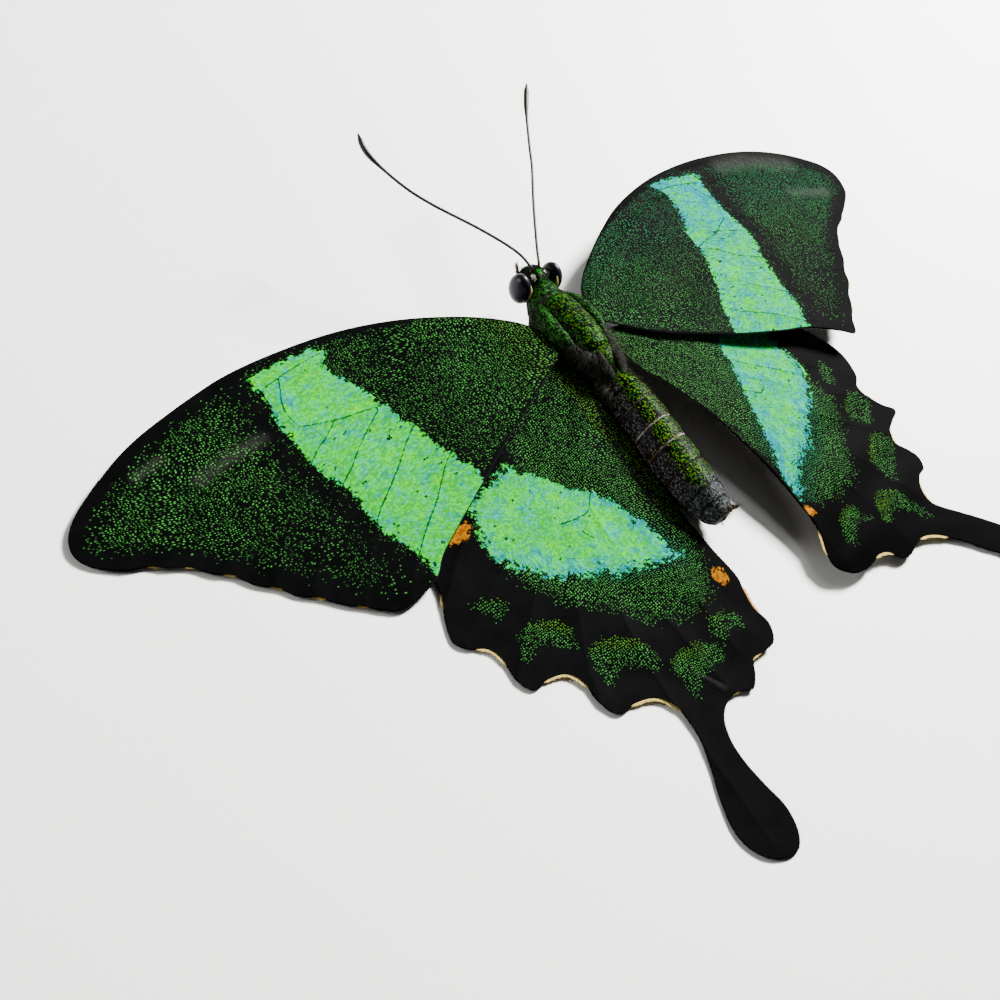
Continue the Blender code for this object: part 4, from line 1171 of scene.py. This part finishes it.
def build_abdomen(scales, cuticle, hair):
    """The abdomen: swollen segments with bare rims, clad in scales, with claspers and a tuft at its tip."""
    random = np.random.default_rng(12)
    skin = Skin(ABDOMEN_SECTIONS, abdomen_detail)
    points, faces = skin.mesh(240, BODY_SIDES)
    skin_faces = len(faces)
    tones = [np.tile((0.0016, 0.0016, 0.0014, 1.0), (len(points), 1))]
    rim = bumps(points[:, 1], RIMS[2:4], 0.10) + 0.35 * bumps(points[:, 1], RIMS[1:2], 0.08)
    rim += 0.12 * bumps(points[:, 1], RIMS[4:], 0.07)
    along, angle = skin.scatter((0.19, 0.13), random)
    spots = skin.spot(along, angle)
    outward, back = skin.facing(along, angle)
    clear = np.min([np.abs(spots[:, 1] - place) for place in RIMS], axis=0)
    keep = (spots[:, 2] > 0.12) & (clear > 0.14) & (spots[:, 1] > -23.1)
    spots, outward, back, angle = spots[keep], outward[keep], back[keep], angle[keep]
    size = random.uniform(0.8, 1.25, len(spots))
    tiles = scale_tiles(spots, outward, back, 0.30 * size, 0.085 * size, 0.04)
    tones.append(toned(abdomen_colours(spots, np.cos(angle), np.sin(angle), random), random, 0.3, 6))
    claspers = []
    for route, width in (([(0.1, -22.6, 2.8), (0.5, -23.0, 3.0), (0.75, -23.25, 3.3), (0.6, -23.3, 3.7)], 0.26),
                         ([(-1.3, -22.6, 2.7), (-1.3, -23.0, 2.9), (-1.0, -23.3, 3.1)], 0.24),
                         ([(-0.5, -22.6, 3.5), (-0.4, -23.1, 3.6), (-0.2, -23.35, 3.3)], 0.3),
                         ([(-0.6, -22.7, 2.2), (-0.6, -23.2, 2.1), (-0.5, -23.35, 2.5)], 0.24)):
        path = even_steps(route, 0.08, False)
        radii = width * (1 - 0.6 * np.linspace(0, 1, len(path)) ** 2)
        claspers.append(tube(path, radii, 12))
    clasper_points = sum(len(part[0]) for part in claspers)
    tones.append(np.tile((0.030, 0.018, 0.006, 1.0), (clasper_points, 1)))
    all_points, all_faces = joined([(points, faces), tiles] + claspers)
    rims = np.concatenate([np.clip(rim, 0, 1), np.zeros(len(all_points) - len(points))])
    materials = [0] * skin_faces + [1] * (len(all_faces) - skin_faces)
    piece = make_piece("abdomen_scaled", all_points, all_faces, [cuticle, scales], materials,
                       {"rim": rims}, sharp=60, colours=np.vstack(tones))
    settle(piece, "abdomen_scales", "abdomen")
    count = 420
    roots = np.column_stack([random.normal(-0.7, 0.55, count), random.uniform(-23.0, -22.0, count),
                             random.uniform(1.6, 3.9, count)])
    ways = np.column_stack([random.normal(0.1, 0.35, count), np.full(count, -1.0), random.normal(0.0, 0.35, count)])
    ways /= np.linalg.norm(ways, axis=1)[:, None]
    tuft, tuft_faces = hairs(roots, ways, random.uniform(0.4, 1.0, count), 0.028, 0.25)
    colours = pick(random, count, [(0.020, 0.014, 0.008), (0.008, 0.006, 0.005), (0.06, 0.045, 0.02)], [0.4, 0.4, 0.2])
    piece = make_piece("abdomen_tuft", tuft, tuft_faces, [hair], colours=toned(colours, random, 0.3, 13))
    settle(piece, "abdomen_scales")


def eye_socket(side, centre):
    """The dark collar that joins an eye to the head."""
    steps = np.linspace(0.0, 1.0, 8)
    route = np.column_stack([0.2 + side * (0.4 + 1.2 * steps), np.full(8, centre[1]), np.full(8, centre[2])])
    collar, faces = tube(route, 0.62 + 0.1 * steps, 40)
    return (collar - centre) * (1.0, EYE_RADII[1], EYE_RADII[2]) + centre, faces


def build_head(scales, cuticle, hair):
    """The head: dark, scaled green on top, pale round the eyes and between the antennae."""
    random = np.random.default_rng(13)
    skin = Skin(HEAD_SECTIONS, head_detail)
    points, faces = skin.mesh(44, 48)
    skin_faces = len(faces)
    along, angle = skin.scatter((0.16, 0.13), random)
    spots = skin.spot(along, angle)
    outward, back = skin.facing(along, angle)
    size = random.uniform(0.8, 1.2, len(spots))
    tiles = scale_tiles(spots, outward, back, 0.24 * size, 0.12 * size, 0.05)
    colours = thorax_colours(spots * (0.8, 1.0, 1.0), random)
    colours *= (0.22 + 0.28 * smoothstep(6.9, 6.2, spots[:, 1]))[:, None]
    crown = (np.hypot(spots[:, 0] - 0.06, spots[:, 1] - 7.1) < 0.3) & (spots[:, 2] > 5.5)
    colours[crown] = (0.010, 0.13, 0.012)
    for place in ((-0.62, 7.1), (-0.66, 6.8), (0.72, 6.95)):
        reach = np.hypot(spots[:, 0] - place[0], spots[:, 1] - place[1])
        colours[(reach < 0.2) & (spots[:, 2] > 4.0)] = (0.75, 0.70, 0.60)
    tones = [np.tile((0.0012, 0.0014, 0.0010, 1.0), (len(points), 1)), toned(colours, random, 0.25, 6)]
    rims = []
    for side, centre in EYES.values():
        cut = 0.2 + side * 1.72
        shrink = math.sqrt(max(1 - ((cut - centre[0]) / EYE_RADII[0]) ** 2, 0.1)) * 1.01
        angles = np.radians(np.linspace(135, 235, 40))
        path = np.column_stack([np.full(40, cut), centre[1] + EYE_RADII[1] * shrink * np.cos(angles),
                                centre[2] + EYE_RADII[2] * shrink * np.sin(angles)])
        rims.append(tube(path, 0.03 + 0.16 * np.sin(np.linspace(0, math.pi, 40)) ** 0.7, 10))
    rim_points = sum(len(part[0]) for part in rims)
    tones.append(np.tile((0.50, 0.38, 0.16, 1.0), (rim_points, 1)))
    sockets = [eye_socket(side, centre) for side, centre in EYES.values()]
    socket_points = sum(len(part[0]) for part in sockets)
    tones.append(np.tile((0.006, 0.007, 0.004, 1.0), (socket_points, 1)))
    all_points, all_faces = joined([(points, faces), tiles] + rims + sockets)
    materials = [0] * skin_faces + [1] * (len(all_faces) - skin_faces)
    piece = make_piece("head_scaled", all_points, all_faces, [cuticle, scales], materials,
                       colours=np.vstack(tones), sharp=60)
    settle(piece, "body_scales", "head")


def build_eyes(material):
    """Each eye: a smooth bulging half ellipsoid, flat where it meets the head."""
    for name, (side, centre) in EYES.items():
        cut = 0.2 + side * 1.5
        points = []
        rings = 40
        sides = 56
        start = math.acos(np.clip(side * (cut - centre[0]) / EYE_RADII[0], -1, 1))
        for ring in range(rings):
            polar = start * (1 - ring / rings)
            for step in range(sides):
                angle = -side * 2 * math.pi * step / sides
                points.append((centre[0] + side * EYE_RADII[0] * math.cos(polar),
                               centre[1] + EYE_RADII[1] * math.sin(polar) * math.cos(angle),
                               centre[2] + EYE_RADII[2] * math.sin(polar) * math.sin(angle)))
        piece = make_piece(name + "_glossy", points, ring_faces(rings, sides), [material], sharp=50)
        settle(piece, "eye", name)


def build_antennae(materials):
    """Each antenna: a fine ringed shaft that thickens into a slim club."""
    for name, material in zip(ANTENNA_ROUTES, materials):
        route = even_steps(ANTENNA_ROUTES[name], 0.07, False)
        share = np.linspace(0, 1, len(route))
        walked = share * len(route) * 0.07
        radii = 0.145 + 0.13 * smoothstep(0.78, 0.9, share) - 0.17 * smoothstep(0.955, 1.0, share)
        radii *= 1.0 + 0.07 * np.abs(np.sin(math.pi * walked / 0.42))
        radii += 0.10 * smoothstep(0.02, 0.0, share)
        piece = make_piece(name + "_ringed", *tube(route, radii, 12), [material])
        settle(piece, "antenna", name)


def build_palps(hair, scales):
    """Short hairy palps in front of the head."""
    random = np.random.default_rng(14)
    for name, route in PALP_ROUTES.items():
        path = even_steps(route, 0.08, False)
        share = np.linspace(0, 1, len(path))
        radii = 0.22 - 0.12 * share ** 2
        core, core_faces = tube(path, radii, 14)
        count = 170
        which = random.integers(0, len(path), count)
        ways = random.normal(0, 1, (count, 3)) + (0.0, 0.7, 0.6)
        ways /= np.linalg.norm(ways, axis=1)[:, None]
        roots = path[which] + ways * radii[which][:, None] * 0.8
        tuft = hairs(roots, ways, random.uniform(0.2, 0.5, count), 0.022, 0.0)
        points, faces = joined([(core, core_faces), tuft])
        shades = pick(random, count, [(0.030, 0.028, 0.022), (0.15, 0.14, 0.12)], [0.5, 0.5])
        tones = np.vstack([np.tile((0.060, 0.056, 0.048, 1.0), (len(core), 1)), toned(shades, random, 0.3, 13)])
        piece = make_piece(name + "_haired", points, faces, [hair], colours=tones)
        settle(piece, "body_scales", name)


def build_legs(material):
    """Six thin legs folded under the body, jointed and spined. They are hidden in the photo."""
    random = np.random.default_rng(15)
    for pair, route in LEG_ROUTES.items():
        for side, word in ((LEFT, "left"), (RIGHT, "right")):
            points = np.array(route) * (side, 1, 1)
            parts = []
            for index, (thick, thin) in enumerate(((0.24, 0.17), (0.18, 0.13), (0.13, 0.08))):
                start, end = points[index], points[index + 1]
                share = np.linspace(0, 1, 16)[:, None]
                path = start + (end - start) * share
                radii = thick + (thin - thick) * share[:, 0] + 0.03 * np.sin(math.pi * share[:, 0])
                if index == 2:
                    radii *= 1 + 0.18 * np.abs(np.sin(5 * math.pi * share[:, 0]))
                parts.append(tube(path, radii, 12))
                count = 26
                at = random.uniform(0.1, 0.95, count)[:, None]
                ways = random.normal(0, 0.6, (count, 3)) + (end - start) / np.linalg.norm(end - start)
                ways /= np.linalg.norm(ways, axis=1)[:, None]
                parts.append(hairs(start + (end - start) * at, ways, np.full(count, 0.34), 0.02, 0.0))
            leg, faces = joined(parts)
            leg[:, 2] = np.maximum(leg[:, 2], 0.02)
            name = f"leg_{pair}_{word}"
            settle(make_piece(name + "_jointed", leg, faces, [material], sharp=50), "leg", name)


def build_body_hair(hair):
    """Soft hair at the wing roots, along the thorax's sides, at its waist and behind the head."""
    random = np.random.default_rng(16)
    skin = Skin(THORAX_SECTIONS, thorax_detail)
    parts = []
    tones = []
    for side in (LEFT, RIGHT):
        for y_low, y_high, level, count, outness, length in (
                (-5.3, 4.6, (4.2, 5.5), 1700, 0.8, (0.6, 1.5)), (-5.4, -3.2, (4.3, 5.9), 700, 0.45, (0.6, 1.5)),
                (-4.5, 5.4, (0.6, 4.2), 900, 0.8, (0.4, 0.9)), (4.2, 5.4, (4.2, 6.1), 260, 0.4, (0.4, 0.9))):
            y = random.uniform(y_low, y_high, count)
            z = random.uniform(*level, count)
            half = np.interp(-y, -skin.table[:, 0], skin.table[:, 2])
            low = np.interp(-y, -skin.table[:, 0], skin.table[:, 3])
            high = np.interp(-y, -skin.table[:, 0], skin.table[:, 4])
            rise = np.clip((z - (low + high) / 2) / ((high - low) / 2), -0.95, 0.95)
            x = side * half * np.sqrt(1 - rise * rise)
            roots = np.column_stack([x * 0.97, y, (low + high) / 2 + rise * (high - low) / 2])
            ways = np.column_stack([side * outness * random.uniform(0.5, 1.2, count),
                                    random.normal(-0.75, 0.35, count), random.normal(0.15, 0.25, count)])
            ways /= np.linalg.norm(ways, axis=1)[:, None]
            parts.append(hairs(roots, ways, random.uniform(*length, count), 0.02, 0.12))
            colours = pick(random, count, [(0.036, 0.031, 0.028), (0.014, 0.012, 0.010), (0.080, 0.073, 0.066),
                                           (0.010, 0.034, 0.007)], [0.38, 0.32, 0.14, 0.16])
            tones.append(toned(colours, random, 0.3, 13))
        count = 420
        roots = np.column_stack([0.1 + side * random.uniform(1.3, 2.0, count), random.uniform(-9.2, -5.2, count),
                                 random.uniform(2.8, 4.2, count)])
        ways = np.column_stack([side * random.uniform(0.6, 1.1, count), random.normal(-0.7, 0.3, count),
                                random.normal(0.0, 0.25, count)])
        ways /= np.linalg.norm(ways, axis=1)[:, None]
        parts.append(hairs(roots, ways, random.uniform(0.6, 1.3, count), 0.022, 0.1))
        colours = pick(random, count, [(0.036, 0.031, 0.028), (0.014, 0.012, 0.010), (0.010, 0.034, 0.007)],
                       [0.45, 0.4, 0.15])
        tones.append(toned(colours, random, 0.3, 13))
    points, faces = joined(parts)
    piece = make_piece("thorax_hair", points, faces, [hair], colours=np.vstack(tones))
    settle(piece, "body_scales")


def build_fringes(hair):
    """Fringe scales round every wing: black and short, but cream and longer in the margin's hollows."""
    for name, pose in WING_POSES.items():
        random = np.random.default_rng(sum(map(ord, name)))
        outline = even_steps(WING_OUTLINES[name], 0.09, True)
        ahead = np.roll(outline, -1, axis=0) - np.roll(outline, 1, axis=0)
        ahead /= np.linalg.norm(ahead, axis=1)[:, None]
        outward = np.column_stack([-ahead[:, 1], ahead[:, 0]])
        if signed_distance(outline + outward * 0.05, outline).mean() > 0:
            outward = -outward
        reach = np.full(len(outline), 0.10)
        colours = np.tile((0.0003, 0.0003, 0.0003), (len(outline), 1))
        for path, width, warm in FRINGES[name]:
            line = even_steps(path, 0.2, False)
            ends = np.minimum(np.hypot(*(outline - line[0]).T), np.hypot(*(outline - line[-1]).T))
            pale = (distance_to_line(outline, line) < 0.25) & (ends > 0.35 * min(len(line) / 10.0, 1.0))
            reach = np.where(pale, np.maximum(reach, 0.06 + 0.5 * width * smoothstep(0.1, 1.0, ends)), reach)
            cream = np.array((0.52, 0.40, 0.12)) * (1 - warm) + np.array((0.30, 0.12, 0.006)) * warm
            colours = np.where(pale[:, None], cream, colours)
        pale = colours[:, 0] > 0.01
        costal = (outline[:, 1] > -2.0) & (outline[:, 0] < 44) if name.startswith("fore") else outline[:, 0] < 0
        keep = ~costal | pale
        root = outline[keep] - outward[keep] * 0.08
        tip = outline[keep] + outward[keep] * (reach[keep] * random.uniform(0.75, 1.1, keep.sum()))[:, None]
        along = ahead[keep]
        wide = 0.055
        corners = []
        for spot, half, lift in ((root, wide, 0.0), (root, wide, -0.05), (tip, wide * 0.5, -0.03), (tip, wide * 0.5, -0.06)):
            for sign in (-1, 1):
                corners.append(wing_point(pose, spot + along * half * sign, lift))
        points = np.stack(corners, axis=1).reshape(-1, 3)
        pattern = [(0, 1, 5, 4), (3, 2, 6, 7), (1, 3, 7, 5), (2, 0, 4, 6), (4, 5, 7, 6), (0, 2, 3, 1)]
        faces = repeat_faces(pattern, 8, keep.sum())
        tones = toned(colours[keep], random, 0.2, 8)
        piece = make_piece(name + "_fringe", points, faces, [hair], colours=tones, sharp=40)
        settle(piece, "wing_scales")


def build_floor():
    """A plain pale surface."""
    shader = Shader("pale surface", 0.6)
    colour = shader.mix((0.84, 0.84, 0.80, 1.0), (0.90, 0.90, 0.87, 1.0), shader.noise(shader.place(), 0.02, 2.0))
    material = shader.finish(colour)
    size = 900.0
    points = [(-size, -size, 0.0), (size, -size, 0.0), (size, size, 0.0), (-size, size, 0.0)]
    floor = make_piece("floor", points, [(0, 1, 2, 3)], [material])


def add_light(name, place, target, size, power):
    """Adds a soft square light at a place, aimed at a target, both in millimetres."""
    light = bpy.data.lights.new(name, "AREA")
    light.size = size * MM
    light.energy = power
    item = bpy.data.objects.new(name, light)
    start = Vector(placed(place))
    item.location = start
    item.rotation_euler = (Vector(placed(target)) - start).to_track_quat("-Z", "Y").to_euler()
    bpy.context.scene.collection.objects.link(item)


def build_lights():
    """Soft studio light: a panel beyond the right wings, a low fill opposite it, and a faint pale sky."""
    add_light("key", (370.0, 95.0, 290.0), (0.0, -8.0, 0.0), 110.0, 16.0)
    add_light("overhead", (220.0, 80.0, 380.0), (0.0, -8.0, 0.0), 120.0, 0.3)
    add_light("fill", (-340.0, 260.0, 130.0), (0.0, 0.0, 0.0), 140.0, 1.5)
    world = bpy.data.worlds.new("sky")
    world.use_nodes = True
    world.node_tree.nodes["Background"].inputs["Color"].default_value = (0.97, 0.98, 1.0, 1.0)
    world.node_tree.nodes["Background"].inputs["Strength"].default_value = 0.045
    bpy.context.scene.world = world


def build_camera():
    """Puts the camera at the photograph's viewing angle."""
    data = bpy.data.cameras.new("camera")
    data.sensor_width = SENSOR_WIDTH
    data.lens = CAMERA_LENS
    data.clip_start = 1 * MM
    camera = bpy.data.objects.new("camera", data)
    camera.location = Vector(placed(CAMERA_PLACE))
    camera.rotation_euler = Euler([math.radians(angle) for angle in CAMERA_TURN])
    bpy.context.scene.collection.objects.link(camera)
    bpy.context.scene.camera = camera


def main():
    build_camera()
    build_floor()
    build_lights()
    for kind in ("forewing", "hindwing"):
        under = wing_under_material(kind)
        for word in ("left", "right"):
            name = f"{kind}_{word}"
            build_wing(name, [wing_top_material(name), under])
    scales = scale_material()
    hair = hair_material()
    cuticle = cuticle_material("dark cuticle", (0.0010, 0.0012, 0.0008, 1.0), (0.004, 0.006, 0.002, 1.0), 0.5, 0.02)
    build_thorax(scales, cuticle)
    build_head(scales, cuticle, hair)
    build_abdomen(scales, abdomen_material(), hair)
    build_eyes(eye_material())
    # The right antenna's colours are lighter than the left one's: painted light on the right antenna, painted shade on
    # the left
    build_antennae([
        cuticle_material("left antenna painted shade", (0.0012, 0.0008, 0.0004, 1.0), (0.004, 0.0024, 0.0010, 1.0), 0.4),
        cuticle_material("right antenna painted light", (0.003, 0.0028, 0.0006, 1.0), (0.009, 0.008, 0.0016, 1.0), 0.4),
    ])
    build_palps(hair, scales)
    build_legs(cuticle_material("leg cuticle", (0.0015, 0.0012, 0.0009, 1.0), (0.007, 0.005, 0.003, 1.0), 0.45))
    build_body_hair(hair)
    build_fringes(hair)


main()
